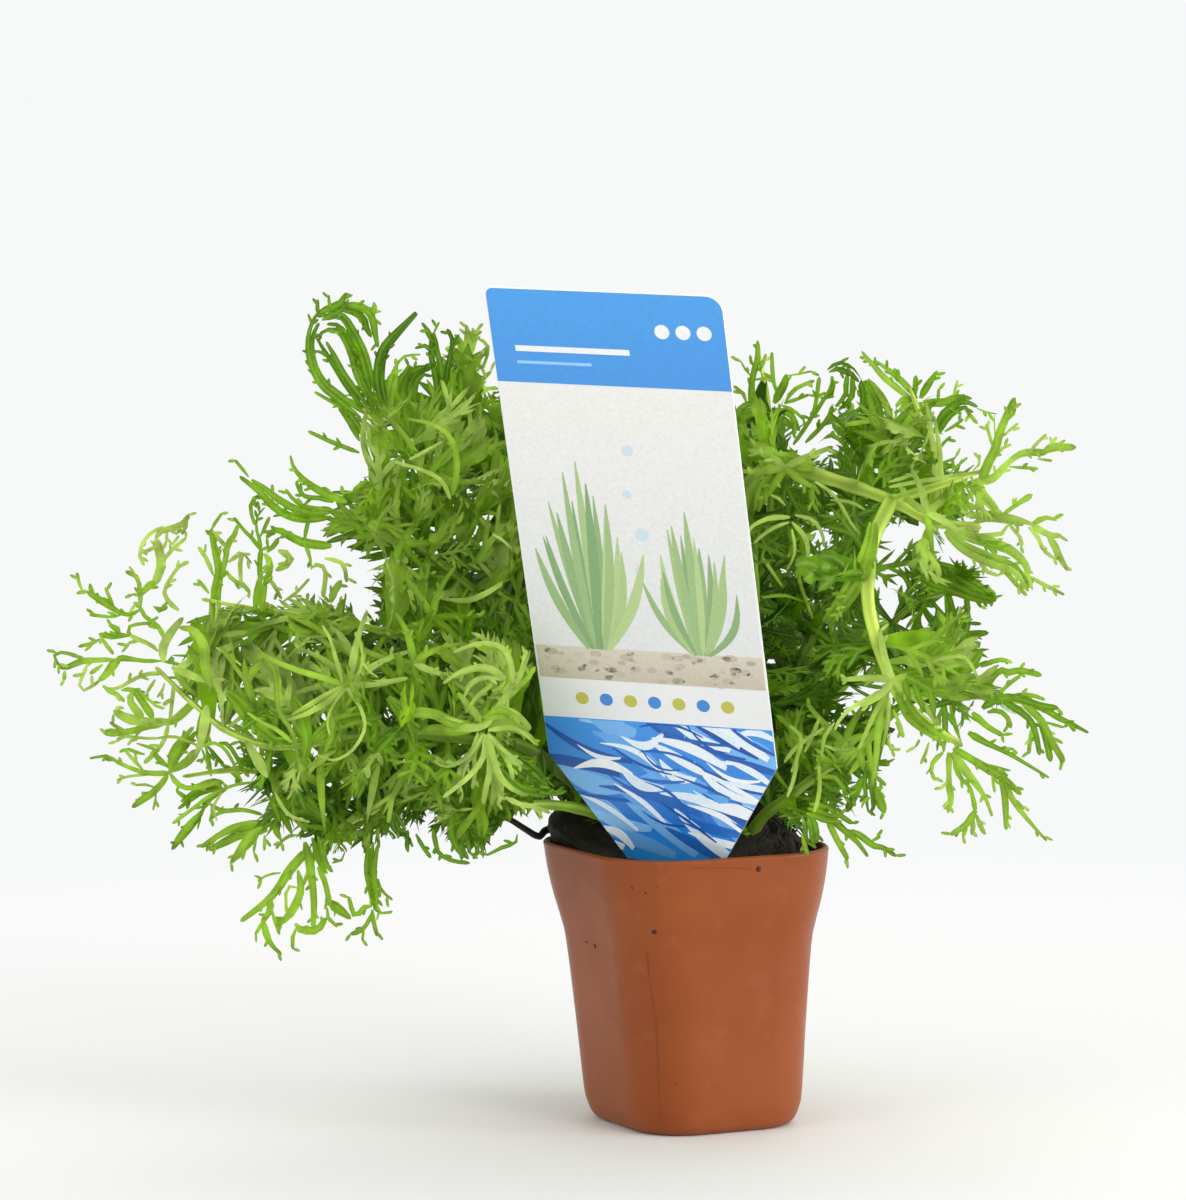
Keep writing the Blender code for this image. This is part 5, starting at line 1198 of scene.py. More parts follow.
# Where the medium stands higher: centre, spread and height of each heap, in millimetres.
HEAPS = [(-25, 2, 4.2, 7.5), (12, -1, 5, 3.5), (2, 8, 8, 1.5)]

# The middle, radius, height and drop of the dome's top, in millimetres.
DOME_MIDDLE_Y = 5.0
DOME_RADIUS = 25.0
DOME_HEIGHT = 63.4
DOME_DROP = 9.5

# The medium bulges over the rim at the left of this place and above this height, by at most
# this much, in millimetres.
BULGE_LEFT_OF = -22
BULGE_ABOVE = 57
BULGE_MOST = 2.0

# The fibres that lie on the medium: their number, how far out they lie, and their lengths and
# radii in millimetres.
FIBRES = 420
FIBRES_WITHIN = 23.0
FIBRE_LENGTHS = (2.5, 7.0)
FIBRE_RADII = (0.10, 0.28)
FIBRE_POINTS = 6

# A thin stem in deep shade that hooks over the rim at the left, dark with painted shade: its points in
# millimetres, and its radius at both ends.
SHADED_STEM = [
    (-23, 9, 59), (-27, 11, 57.5), (-29.6, 11, 56.9), (-31, 8.5, 56.0), (-33.6, 3, 58.2),
    (-36.4, -3, 60.8), (-39, -7, 62.5),
]
SHADED_STEM_RADII = (0.90, 0.55)


def heaped(x, y, height):
    """A height of the medium's top, lowered at the front and raised at the heaps."""
    front = min(1.0, max(0.0, (y + 14.0) / 8.0))
    share = min(1.0, max(0.0, (height - 50.5) / 2.0))
    lowered = height if height < 52.0 else 52.0 + (height - 52.0) * (0.25 + 0.75 * front)
    for heap_x, heap_y, spread, rise in HEAPS:
        lowered += share * rise * math.exp(-((x - heap_x) ** 2 + (y - heap_y) ** 2) / (2 * spread ** 2))
    return lowered


def medium_top(x, y):
    """The dome's height over a place, in millimetres."""
    away = math.hypot(x, y - DOME_MIDDLE_Y) / DOME_RADIUS
    return heaped(x, y, DOME_HEIGHT - DOME_DROP * min(1.0, away) ** 2.2)


def make_medium(surface):
    """A lumpy fibrous dome, with fine fibres lying over it and a stem in painted shade that hooks over the
    rim.
    """
    rings = []
    for share, height, back in smooth_levels(MEDIUM_LEVELS, 4):
        rings.append(rounded_square(inside_flats(min(height, POT_HEIGHT)) * share, height, back, steps=16))
    points = []
    for ring in rings:
        for point in ring:
            lump = noise.fractal(point * LUMP_FINENESS, 1.0, 2.0, 4) * LUMP_HEIGHT * MM
            inward = Vector((-point.x, -point.y, 0)) * 0.02
            if point.z > LUMPY_ABOVE * MM:
                point = point + Vector((0, 0, lump)) + inward * abs(lump) / MM
            point.z = heaped(point.x / MM, point.y / MM, point.z / MM) * MM
            if point.x < BULGE_LEFT_OF * MM and point.z > BULGE_ABOVE * MM:
                point.x -= min(BULGE_MOST * MM, point.z - BULGE_ABOVE * MM)
            points.append(point)
    medium = mesh_object("fibre_plug", points, closed_loft(len(rings), len(rings[0])), surface)
    finish_piece(medium, "medium", "growing_medium")
    add_fibres(surface)


def add_fibres(surface):
    """Fine fibres that lie over the dome, and the stem in painted shade that hooks over the rim."""
    rng = random.Random(5)
    points, faces = [], []
    for _ in range(FIBRES):
        angle, out = rng.uniform(0, 2 * math.pi), FIBRES_WITHIN * math.sqrt(rng.random())
        middle_x, middle_y = out * math.cos(angle), out * math.sin(angle)
        way = rng.uniform(0, 2 * math.pi)
        length = rng.uniform(*FIBRE_LENGTHS)
        line = []
        for step in range(FIBRE_POINTS):
            along_it = length * (step / (FIBRE_POINTS - 1) - 0.5)
            way += rng.uniform(-0.5, 0.5)
            x, y = middle_x + along_it * math.cos(way), middle_y + along_it * math.sin(way)
            inward = min(1.0, FIBRES_WITHIN / math.hypot(x, y))
            x, y = x * inward, y * inward
            lift = 0.2 + rng.uniform(0, 0.8)
            line.append(Vector((x, y, medium_top(x, y) + lift)) * MM)
        add_tube(points, faces, line, [rng.uniform(*FIBRE_RADII) * MM] * FIBRE_POINTS, 3)
    # The stem over the rim takes the dark fibre's colour: painted shade.
    root = fine_route(SHADED_STEM, 5)
    radii = [radius * MM for radius in np.linspace(*SHADED_STEM_RADII, len(root)).tolist()]
    add_tube(points, faces, root, radii, 7)
    finish_piece(mesh_object("surface_fibres", points, faces, surface), "medium")


# The label


def label_place(across, up, front):
    """A point of the label, from millimetres across, up and in front of its middle plane."""
    return LABEL_FOOT + (LABEL_ACROSS * across + LABEL_UPWARD * up + LABEL_FACING * front) * MM


def label_outline(inset=0.0, steps=8):
    """The label's flat outline in millimetres, anticlockwise from its tip."""
    half = LABEL_WIDTH / 2 - inset
    neck = LABEL_NECK / 2 - inset
    slope = (half - neck) / LABEL_SHOULDER
    low = -LABEL_SPIKE * SPIKE_TAPER_SHARE
    tip = SPIKE_TIP_WIDTH / 2
    points = [(-tip, -LABEL_SPIKE), (tip, -LABEL_SPIKE), (neck + slope * low, low), (neck, 0.0)]
    points.append((half, LABEL_SHOULDER))
    left_radius, right_radius = LABEL_CORNERS
    for radius, side, first in ((right_radius, 1, 0), (left_radius, -1, 90)):
        centre = (side * (half - radius), LABEL_TOP - inset - radius)
        for step in range(steps + 1):
            angle = math.radians(first + 90 * step / steps)
            points.append((centre[0] + radius * math.cos(angle), centre[1] + radius * math.sin(angle)))
    points += [(-half, LABEL_SHOULDER), (-neck, 0.0), (-neck - slope * low, low)]
    return points


def clip(shape, edge_point, inward):
    """The part of a flat convex shape on one side of a line."""

    def depth_in(point):
        return (point[0] - edge_point[0]) * inward[0] + (point[1] - edge_point[1]) * inward[1]

    kept = []
    for index, here in enumerate(shape):
        before = shape[index - 1]
        here_in, before_in = depth_in(here), depth_in(before)
        if (here_in >= 0) != (before_in >= 0):
            share = before_in / (before_in - here_in)
            kept.append(tuple(start + (end - start) * share for start, end in zip(before, here)))
        if here_in >= 0:
            kept.append(here)
    return kept


def within(shape, border):
    """A convex shape cut off by a convex border that runs anticlockwise."""
    for index, here in enumerate(border):
        before = border[index - 1]
        along_edge = (here[0] - before[0], here[1] - before[1])
        shape = clip(shape, before, (-along_edge[1], along_edge[0]))
        if len(shape) < 3:
            return []
    return shape


# The printed plates, in millimetres: how far the lowest one stands out, how deep each one sits
# in the sheet, and how much higher each level is.
PRINT_RISE = 0.008
PLATE_DEPTH = 0.05
LEVEL_RISE = 0.012


def blended(low, high, share):
    """A colour between two others."""
    return tuple(start + (end - start) * share for start, end in zip(low, high))


class Print:
    """Flat printed shapes on the label's front, each a thin closed plate of its own colour."""

    def __init__(self):
        self.points, self.faces, self.inks = [], [], []

    def plate(self, shape, ink, level, top_ink=None):
        """Adds a plate at a level, whose colour may fade upwards to another."""
        if len(shape) < 3:
            return
        self.faces += moved(closed_loft(2, len(shape)), len(self.points))
        front = LABEL_THICKNESS / 2 + PRINT_RISE
        low = min(point[1] for point in shape)
        tall = max(point[1] for point in shape) - low
        for depth in (front - PLATE_DEPTH, front + LEVEL_RISE * level):
            for across, up in shape:
                self.points.append(label_place(across, up, depth))
                share = (up - low) / tall if tall else 0.0
                self.inks.append((*blended(ink, top_ink or ink, share), 1.0))

    def disc(self, centre, radius, ink, level, steps=20, squash=1.0):
        """Adds a round plate, or a flatter one if it is squashed."""
        self.plate([
            (centre[0] + radius * math.cos(2 * math.pi * step / steps),
             centre[1] + radius * squash * math.sin(2 * math.pi * step / steps))
            for step in range(steps)], ink, level)

    def blade(self, foot, tip, bow, width, ink, level, border=None, steps=9):
        """A slender leaf as short plates side by side, so that it may curve, cut off at a border."""
        rows = []
        span = (tip[0] - foot[0], tip[1] - foot[1])
        length = math.hypot(*span)
        side = (-span[1] / length, span[0] / length)
        for step in range(steps + 1):
            share = step / steps
            push = bow * math.sin(math.pi * share)
            half = width / 2 * math.sin(math.pi * (0.12 + 0.86 * share)) ** 0.8
            middle = [foot[axis] + span[axis] * share + side[axis] * push for axis in (0, 1)]
            rows.append([
                tuple(middle[axis] + side[axis] * out for axis in (0, 1)) for out in (-half, half)])
        for low, high in zip(rows, rows[1:]):
            shape = [low[0], low[1], high[1], high[0]]
            self.plate(within(shape, border) if border else shape, ink, level)


# The print's colours, and the heights of its zones on the label in millimetres.
SKY_BLUE = (0.066, 0.345, 0.81)
BAND_FOOT_BLUE = (0.060, 0.300, 0.76)
PANEL_GREY = (0.72, 0.74, 0.74)
PANEL_WHITE = (0.84, 0.83, 0.80)
SAND = (0.56, 0.50, 0.39)
PALE_SAND = (0.66, 0.61, 0.51)
DEEP_BLUE = (0.008, 0.115, 0.52)
WATER_BLUE = (0.05, 0.30, 0.82)
BRIGHT_WATER_BLUE = (0.03, 0.36, 0.92)
LIGHT_BLUE = (0.30, 0.60, 0.95)
PRINT_WHITE = (0.86, 0.88, 0.90)
DOT_COLORS = ((0.52, 0.50, 0.08), (0.05, 0.24, 0.66))
BUBBLE_BLUE = (0.60, 0.72, 0.80)
GRASS_GREENS = ((0.16, 0.33, 0.14), (0.47, 0.62, 0.27))
BAND_FROM = 101.6
PANEL_ZONE = (37.3, 101.0)
SAND_TOP = 44.5
TUFT_FOOT = 44.2
WATER_TOP = 28.5
STROKES_TOP = 28.3

# The strokes of the printed water, in layers: how many there are, their lengths and widths in
# millimetres, and the two colours that each one's lies between.
WATER_STROKES = (
    (20, (10, 20), (2.4, 5.0), (0.10, 0.38, 0.86), (0.30, 0.60, 0.94)),
    (12, (12, 22), (1.0, 2.4), (0.006, 0.07, 0.36), (0.02, 0.16, 0.56)),
    (30, (8, 18), (0.9, 2.8), (0.70, 0.83, 0.94), (0.90, 0.93, 0.96)),
    (18, (8, 16), (0.35, 0.9), (0.006, 0.07, 0.36), (0.02, 0.16, 0.56)),
)

# The printed tufts: each one's middle, height and spread. Then the bubbles: place and radius.
# All are in millimetres.
TUFTS = ((-10.0, 40.0, 10.0), (11.0, 30.0, 9.0))
BLADES_PER_TUFT = 15
BUBBLES = (((0.5, 62.0), 1.0), ((1.8, 70.0), 1.4), ((-0.2, 78.5), 0.9), ((1.0, 88.0), 1.2))

# The printed grains of gravel: their number, and the span of their middles and radii.
GRAINS = 70
GRAINS_ACROSS = (-22, 22)
GRAINS_UP = (37.8, 44.0)
GRAIN_RADII = (0.5, 1.5)

# The printed bars, by their left, lower, right and upper edges. Then the two rows of dots: how
# many there are, the first one's place, the spacing and the radius.
BARS = (((-19, 108.2, 4, 109.4), PRINT_WHITE), ((-19, 105.6, -4, 106.2), LIGHT_BLUE))
LOW_DOTS = (7, (-15, 33), 5, 1.35)
HIGH_DOTS = (3, (11, 113.5), 4.2, 1.5)


def make_label(sheet, ink):
    """A thin flat sheet, and the print that stands a hair's breadth out of its front."""
    outline = label_outline()
    half = LABEL_THICKNESS / 2
    points = [label_place(across, up, depth) for depth in (-half, half) for across, up in outline]
    label = mesh_object("label_sheet", points, closed_loft(2, len(outline)), sheet, smooth=False)
    finish_piece(label, "label", "label")
    art = Print()
    print_zones(art)
    print_water(art)
    print_plants(art)
    printed = mesh_object("label_print", art.points, art.faces, ink, smooth=False)
    add_attribute(printed, "ink", art.inks)
    finish_piece(printed, "label")


def zone(low, high, inset=0.0):
    """The label's outline between two heights, without the point that the medium hides."""
    half = LABEL_WIDTH
    return within([(-half, low), (half, low), (half, high), (-half, high)], label_outline(inset)[2:])


def print_zones(art):
    """Sky-blue band, pale panel with sand at its foot, white strip and deep-blue foot."""
    art.plate(zone(BAND_FROM, LABEL_TOP, 0.05), BAND_FOOT_BLUE, 1, SKY_BLUE)
    art.plate(zone(*PANEL_ZONE, 0.35), PANEL_GREY, 1, PANEL_WHITE)
    art.plate(zone(PANEL_ZONE[0], SAND_TOP, 0.35), SAND, 2, PALE_SAND)
    art.plate(zone(-LABEL_SPIKE, WATER_TOP, 0.05), DEEP_BLUE, 1, WATER_BLUE)
    rng = random.Random(3)
    for _ in range(GRAINS):
        place = (rng.uniform(*GRAINS_ACROSS), rng.uniform(*GRAINS_UP))
        shade = rng.uniform(0.75, 1.12)
        art.disc(place, rng.uniform(*GRAIN_RADII), tuple(part * shade for part in SAND), 3, 10, 0.55)
    print_dots(art, LOW_DOTS, DOT_COLORS)
    for (left, low, right, high), color in BARS:
        art.plate([(left, low), (right, low), (right, high), (left, high)], color, 2)
    print_dots(art, HIGH_DOTS, (PRINT_WHITE,))


def print_dots(art, row, colors):
    """A row of dots whose colours take turns."""
    count, (left, up), spacing, radius = row
    for index in range(count):
        art.disc((left + spacing * index, up), radius, colors[index % len(colors)], 2)


def print_water(art):
    """Pale patches, dark streaks and a brighter tip over the blue foot, all slanting."""
    rng = random.Random(8)
    border = zone(-3.0, STROKES_TOP, 0.1)
    tip = within([(-12, -3), (12, -3), (12, 4), (-12, 7)], border)
    art.plate(tip, BRIGHT_WATER_BLUE, 2, (0.02, 0.20, 0.70))
    for layer, (count, lengths, widths, low_ink, high_ink) in enumerate(WATER_STROKES):
        for index in range(count):
            across, up = rng.uniform(-20, 20), rng.uniform(1, 28)
            way = math.radians(rng.gauss(157, 11))
            length, width = rng.uniform(*lengths), rng.uniform(*widths)
            reach = (length / 2 * math.cos(way), length / 2 * math.sin(way))
            ink = blended(low_ink, high_ink, rng.random())
            art.blade(
                (across - reach[0], up - reach[1]), (across + reach[0], up + reach[1]),
                rng.uniform(-2.5, 2.5), width, ink, 3 + 4 * layer + 0.12 * index, border)


def print_plants(art):
    """Two loose fans of water-grass blades, with a few bubbles rising between them."""
    rng = random.Random(21)
    for middle, tall, spread in TUFTS:
        for index in range(BLADES_PER_TUFT):
            lean = 2 * index / (BLADES_PER_TUFT - 1) - 1
            foot = (middle + lean * 1.8 + rng.uniform(-0.4, 0.4), TUFT_FOOT)
            high = tall * (1 - 0.45 * abs(lean) ** 1.5) * rng.uniform(0.82, 1.05)
            tip = (middle + lean * spread * rng.uniform(0.8, 1.2), TUFT_FOOT + high)
            ink = blended(*GRASS_GREENS, rng.random())
            art.blade(foot, tip, -lean * rng.uniform(0.8, 2.4), rng.uniform(1.3, 2.2), ink, 3 + index % 3)
    for place, radius in BUBBLES:
        art.disc(place, radius, BUBBLE_BLUE, 3)


# Stems


ROUTES = {name: fine_route(points) for name, (_, _, points) in STEMS.items()}


def lengths_of(route):
    """The way along a route from its start to each of its points."""
    lengths = [0.0]
    for low, high in zip(route, route[1:]):
        lengths.append(lengths[-1] + (high - low).length)
    return lengths


LENGTHS = {name: lengths_of(route) for name, route in ROUTES.items()}


def along(name, share):
    """The point and the direction at a share of a stem's length."""
    route, lengths = ROUTES[name], LENGTHS[name]

    def at(part):
        want = min(1.0, max(0.0, part)) * lengths[-1]
        index = next((i for i in range(1, len(route)) if lengths[i] >= want - 1e-12), len(route) - 1)
        rest = (want - lengths[index - 1]) / (lengths[index] - lengths[index - 1])
        return route[index - 1].lerp(route[index], rest)

    return at(share), (at(share + 0.03) - at(share - 0.03)).normalized()


def whorl_places(name):
    """The places of a stem's whorls, as shares of its length: the solids' own and those between."""
    start, spacing, _ = LEAFY[name]
    length = LENGTHS[name][-1] / MM
    solid = [share for stem, share, _ in WHORLS if stem == name]
    places = list(solid)
    count = max(1, round((1 - start) * length / spacing))
    for index in range(count):
        share = start + (1 - start) * index / count
        if all(abs(share - other) * length > spacing * 0.6 for other in places):
            places.append(share)
    return sorted(places)


def nearest_whorl(name, share):
    """The solid whorl's piece that is nearest to a place along a stem, and its leaves' reach."""
    solids = [(place, reach) for stem, place, reach in WHORLS if stem == name]
    index = min(range(len(solids)), key=lambda at: abs(solids[at][0] - share))
    return f"leaves_{name}_{index + 1}", solids[index][1] * MM


STEM_SIDES = 16
STEM_RIDGES = 4
THICK = ("right_thick", "right_down")
SIDE_STEMS = ("right_down", "right_out", "right_rise", "right_side", "left_droop", "left_star")


def make_stem(name, surface, rng):
    """A ridged fleshy tube, a little swollen at each whorl, ending in a point."""
    foot, tip, _ = STEMS[name]
    route, lengths = ROUTES[name], LENGTHS[name]
    nodes = whorl_places(name)
    turn = rng.uniform(0, 6)
    points, tones = [], []
    ways = list(frames(route))
    rings = len(route) + 2
    for index in range(rings):
        at = min(index, len(route) - 1)
        share = lengths[at] / lengths[-1]
        tone = 0.75 + 0.25 * share if name in SIDE_STEMS else share ** 1.6
        ahead, normal, side = ways[at]
        beyond = index - at
        place = route[at] + ahead * tip * MM * (0.0, 0.7, 1.0)[beyond]
        near = max((math.exp(-((share - node) * lengths[-1] / (1.6 * MM)) ** 2) for node in nodes), default=0)
        slender = 1.0 - (0.4 * share ** 6 if name in THICK else 0.6 * share ** 3)
        radius = (foot + (tip - foot) * share) * slender * (0.94 + 0.16 * near) * (1.0, 0.7, 0.1)[beyond] * MM
        wander = noise.noise(place * 90) * 0.08
        for step in range(STEM_SIDES):
            angle = 2 * math.pi * step / STEM_SIDES
            ridge = math.cos(STEM_RIDGES * angle + turn)
            reach = radius * (1 + 0.09 * ridge + wander)
            points.append(place + (normal * math.cos(angle) + side * math.sin(angle)) * reach)
            tones.append((0.5 + 0.5 * ridge, tone, near * 0.8, 1.0))
    stem = mesh_object("flesh_" + name, points, closed_loft(rings, STEM_SIDES), surface)
    add_attribute(stem, "growth", tones)
    finish_piece(stem, "stem", "stem_" + name)


# Leaf shapes, flat, as long as 1: u runs to the tip, v across, z is the thickness.
# Each kind has: the blade's half width, its pairs of lobes, their length, half width and angle
# in degrees, and the share of them that fork.
KINDS = {
    "strap": (0.050, 2, 0.46, 0.036, 30, 0.35),
    "fern": (0.048, 3, 0.40, 0.036, 34, 0.45),
    "feather": (0.034, 3, 0.42, 0.028, 38, 0.65),
    "broad": (0.110, 2, 0.36, 0.060, 28, 0.20),
    "arc": (0.042, 0, 0.0, 0.0, 0, 0.0),
}
VARIANTS = 10
RIDGE = 0.008

# A nib's widths in millimetres, and the share of their drawn width that plain strands keep.
NIB_WIDTHS = (0.6, 0.75, 0.5)
SLENDER = 0.78


def unit(rows):
    """Rows of numbers, each made one long."""
    return rows / np.linalg.norm(rows, axis=1)[:, None]


def directions(line):
    """The direction at each point of a line."""
    return unit(np.gradient(line, axis=0))


def sideways(line):
    """The direction to the left at each point of a flat line."""
    ahead = directions(line)
    return np.stack([-ahead[:, 1], ahead[:, 0]], 1)


def rolled(side, normal, angles):
    """Two directions across a line, turned about it by an angle at each of its points."""
    cos, sin = np.cos(angles)[:, None], np.sin(angles)[:, None]
    return side * cos + normal * sin, normal * cos - side * sin


def ribbon(line, half_widths, tip_from, tip_to):
    """A closed ribbon along a line in the leaf's plane: flat behind, ridged in front."""
    line = np.array(line, float)
    half = np.array(half_widths, float)[:, None]
    out = sideways(line) * half
    flat = np.zeros_like(half)
    depth = RIDGE * np.clip(half / half.max(), 0.3, 1.0)
    rings = np.stack([
        np.hstack([line + out, flat]), np.hstack([line, depth]), np.hstack([line - out, flat])], 1)
    count = len(line)
    tip = np.repeat(np.linspace(tip_from, tip_to, count), 3)
    rib = np.tile([0.0, 1.0, 0.0], count)
    return rings.reshape(-1, 3), closed_loft(count, 3), np.stack([tip, rib], 1)


def curved_line(start, way, length, bend, steps):
    """Points from a start, in a direction that turns evenly by a bend."""
    line = [start]
    for step in range(steps):
        angle = way + bend * step / steps
        last = line[-1]
        line.append((last[0] + length / steps * math.cos(angle), last[1] + length / steps * math.sin(angle)))
    return line


def leaf_shape(kind, variant):
    """A flat leaf of a kind: its points, its faces, and how near each point is to tip and rib."""
    blade, pairs, lobe_length, lobe_width, lobe_angle, forked = KINDS[kind]
    rng = random.Random(f"{kind} {variant}")
    parts = []
    bow = rng.uniform(-0.04, 0.04)
    shares = [index / 6 for index in range(7)]
    rachis = [(u, bow * math.sin(math.pi * u)) for u in shares]
    widths = [
        blade * max(0.06, (0.35 + 0.65 * math.sin(math.pi * (0.06 + 0.9 * u))) * (1 - u ** 6))
        for u in shares]
    parts.append(ribbon(rachis, widths, -0.6, 1.0))
    for index in range(pairs):
        for side in (-1, 1):
            u = 0.16 + 0.66 * (index + 0.5) / pairs + side * 0.03 + rng.uniform(-0.04, 0.04)
            grade = 0.55 + 0.45 * math.sin(math.pi * (index + 0.8) / (pairs + 0.4))
            length = lobe_length * grade * rng.uniform(0.8, 1.2)
            way = side * math.radians(lobe_angle + rng.uniform(-8, 8))
            bend = -side * math.radians(rng.uniform(-22, 48))
            start = (u - blade * 0.3, bow * math.sin(math.pi * u))
            lobe = curved_line(start, way, length, bend, 4)
            width = lobe_width * rng.uniform(0.85, 1.15)
            parts.append(ribbon(lobe, [width * share for share in (0.95, 0.85, 1.0, 0.75, 0.12)], 0.1, 1.0))
            if rng.random() < forked:
                for fork_side in ((-side,) if rng.random() < 0.5 else (-side, side)):
                    fork_way = way + bend * 0.5 + fork_side * math.radians(rng.uniform(28, 42))
                    fork = curved_line(lobe[2], fork_way, length * rng.uniform(0.36, 0.52), 0.0, 2)
                    parts.append(ribbon(fork, [width * share for share in (0.9, 0.85, 0.12)], 0.5, 1.0))
    points, faces, tones, base = [], [], [], 0
    for part_points, part_faces, part_tones in parts:
        points.append(part_points)
        faces += moved(part_faces, base)
        tones.append(part_tones)
        base += len(part_points)
    return np.vstack(points), faces, np.vstack(tones)


SHAPES = {(kind, variant): leaf_shape(kind, variant) for kind in KINDS for variant in range(VARIANTS)}


def bezier(marks, u):
    """Points and directions of a cubic curve at the given parameters."""
    a, b, c, d = (np.array(mark) for mark in marks)
    u = u[:, None]
    place = a * (1 - u) ** 3 + 3 * b * u * (1 - u) ** 2 + 3 * c * u ** 2 * (1 - u) + d * u ** 3
    ahead = 3 * (b - a) * (1 - u) ** 2 + 6 * (c - b) * u * (1 - u) + 3 * (d - c) * u ** 2
    return place, unit(ahead)


def carried_normals(aheads, face):
    """The leaf's face direction carried along its midrib without twisting."""
    normal = np.array(face, float)
    carried = []
    for ahead in aheads:
        normal = normal - ahead * normal.dot(ahead)
        normal /= np.linalg.norm(normal)
        carried.append(normal)
    return np.array(carried)


class Foliage:
    """Leaves gathered for each solid whorl's piece."""

    def __init__(self):
        self.pieces = {}

    def leaf(self, piece, kind, variant, marks, face, young, width=1.0, twist=0.0, fold=0.25, curl=0.0):
        """Bends a leaf's flat shape along a cubic midrib and adds it to a piece."""
        shape, faces, tones = SHAPES[kind, variant % VARIANTS]
        steps = np.linspace(0, 1, 13)
        rib, rib_ahead = bezier(marks, steps)
        length = np.linalg.norm(np.diff(rib, axis=0), axis=1).sum()
        normals = carried_normals(rib_ahead, face)
        u = np.clip(shape[:, 0], -0.03, 1.03)
        place, ahead = bezier(marks, u)
        normal = np.stack([np.interp(u, steps, normals[:, axis]) for axis in range(3)], 1)
        normal = unit(normal - ahead * (normal * ahead).sum(1)[:, None])
        side, normal = rolled(np.cross(normal, ahead), normal, twist * u)
        v = shape[:, 1] * length * width
        rise = shape[:, 2] * length + fold * np.abs(v) - curl * v ** 2 / length * 4
        points = place + side * v[:, None] + normal * rise[:, None]
        rows = np.ones((len(points), 4))
        rows[:, 0] = np.clip(tones[:, 0], 0, 1)
        rows[:, 1] = np.clip(young + 0.12 * shape[:, 0], 0, 1)
        rows[:, 2] = tones[:, 1]
        self.pieces.setdefault(piece, []).append((points, faces, rows))

    def drawn(self, piece, near, far, young, blades, rng, tips=True):
        """Adds blades given as the camera sees them, in millimetres on the plane y = 0."""
        foot = np.array(blades[0][1])
        reach = max(math.dist(foot, mark) for _, *marks in blades for mark in marks)
        for widths, *marks in blades:
            curve = np.array(smooth_levels(marks, 6))
            tone = young + (0.12 if max(widths) < 1.3 else 0.0) + rng.gauss(0, 0.09)
            if not tips:
                widths = [width * SLENDER for width in widths]
            for line, line_widths in strands(curve, widths, rng):
                self.drawn_blade(piece, near, far, tone, line, line_widths, foot, reach, rng)
                for nib in nibs(line, rng) if tips else ():
                    self.drawn_blade(piece, near, far, tone + 0.06, nib, NIB_WIDTHS, foot, reach, rng)

    def drawn_blade(self, piece, near, far, young, curve, widths, foot, reach, rng):
        """One ribbon along a curve that the camera sees, flat to it but for a small roll."""
        arc = np.append(0.0, np.cumsum(np.linalg.norm(np.diff(curve, axis=0), axis=1)))
        end = arc[-1]
        tip = min(max(widths[-1] * 0.8, 0.3), end * 0.3)
        at = np.append(np.linspace(0, end - tip, max(3, round(end / 1.4))), [end - tip * 0.4, end])
        half = np.interp(at, np.linspace(0, end, len(widths)), widths) / 2 * MM
        half[0] *= 0.45
        half[-2:] *= (0.7, 0.15)
        share = at / end
        x, z = np.interp(at, arc, curve[:, 0]), np.interp(at, arc, curve[:, 1])
        away = np.clip(np.hypot(x - foot[0], z - foot[1]) / reach, 0, 1)
        depth = near + (far - near) * away + rng.uniform(-2.5, 2.5) * share ** 1.5
        middle = np.array([seen_point(*spot) for spot in zip(x.tolist(), z.tolist(), depth.tolist())])
        ahead = directions(middle)
        side = unit(np.cross(np.array(CAMERA_PLACE) - middle, ahead))
        roll = rng.gauss(0, 0.25) + rng.gauss(0, 0.35) * share
        side, normal = rolled(side, np.cross(ahead, side), roll)
        out = side * half[:, None]
        ridge = normal * np.clip(half * 0.22, 0.06 * MM, 0.4 * MM)[:, None]
        points = np.stack([middle + out, middle + ridge, middle - out], 1).reshape(-1, 3)
        rows = np.ones((len(points), 4))
        rows[:, 0] = np.repeat(0.2 + 0.8 * share * away, 3)
        rows[:, 1] = min(1.0, max(0.0, young))
        rows[:, 2] = np.tile([0.0, 1.0, 0.0], len(at))
        self.pieces.setdefault(piece, []).append((points, closed_loft(len(at), 3), rows))

    def build(self, surface):
        """Makes one mesh of each piece's leaves."""
        for piece, leaves in self.pieces.items():
            base, faces = 0, []
            for points, leaf_faces, _ in leaves:
                faces += moved(leaf_faces, base)
                base += len(points)
            points = np.vstack([leaf[0] for leaf in leaves])
            obj = mesh_object("fine_" + piece, points.tolist(), faces, surface)
            add_attribute(obj, "growth", np.vstack([leaf[2] for leaf in leaves]))
            obj.data.set_sharp_from_angle(angle=math.radians(70))
            finish_piece(obj, "leaf", piece)


def strands(curve, widths, rng):
    """A broad blade's strands, side by side; a slender blade is one strand."""
    count = max(1, round(max(widths) / 1.35)) if max(widths) > 2.3 else 1
    if count == 1:
        return [(curve, widths)]
    across = sideways(curve)
    spread = np.interp(np.linspace(0, 1, len(curve)), np.linspace(0, 1, len(widths)), widths)
    made = []
    for index in range(count):
        place = (index + 0.5) / count - 0.5
        wave = 0.28 * np.sin(np.linspace(rng.uniform(0, 3), rng.uniform(3, 7), len(curve)))
        line = curve + across * (spread * (place * 0.92 + wave / count))[:, None]
        last = len(line) - (0 if index == count // 2 else rng.randrange(0, max(1, len(line) // 4)))
        wide = max(widths) / count
        made.append((line[:last], (wide * 0.6, wide * 1.05, wide * 0.95, wide * 0.45)))
    return made


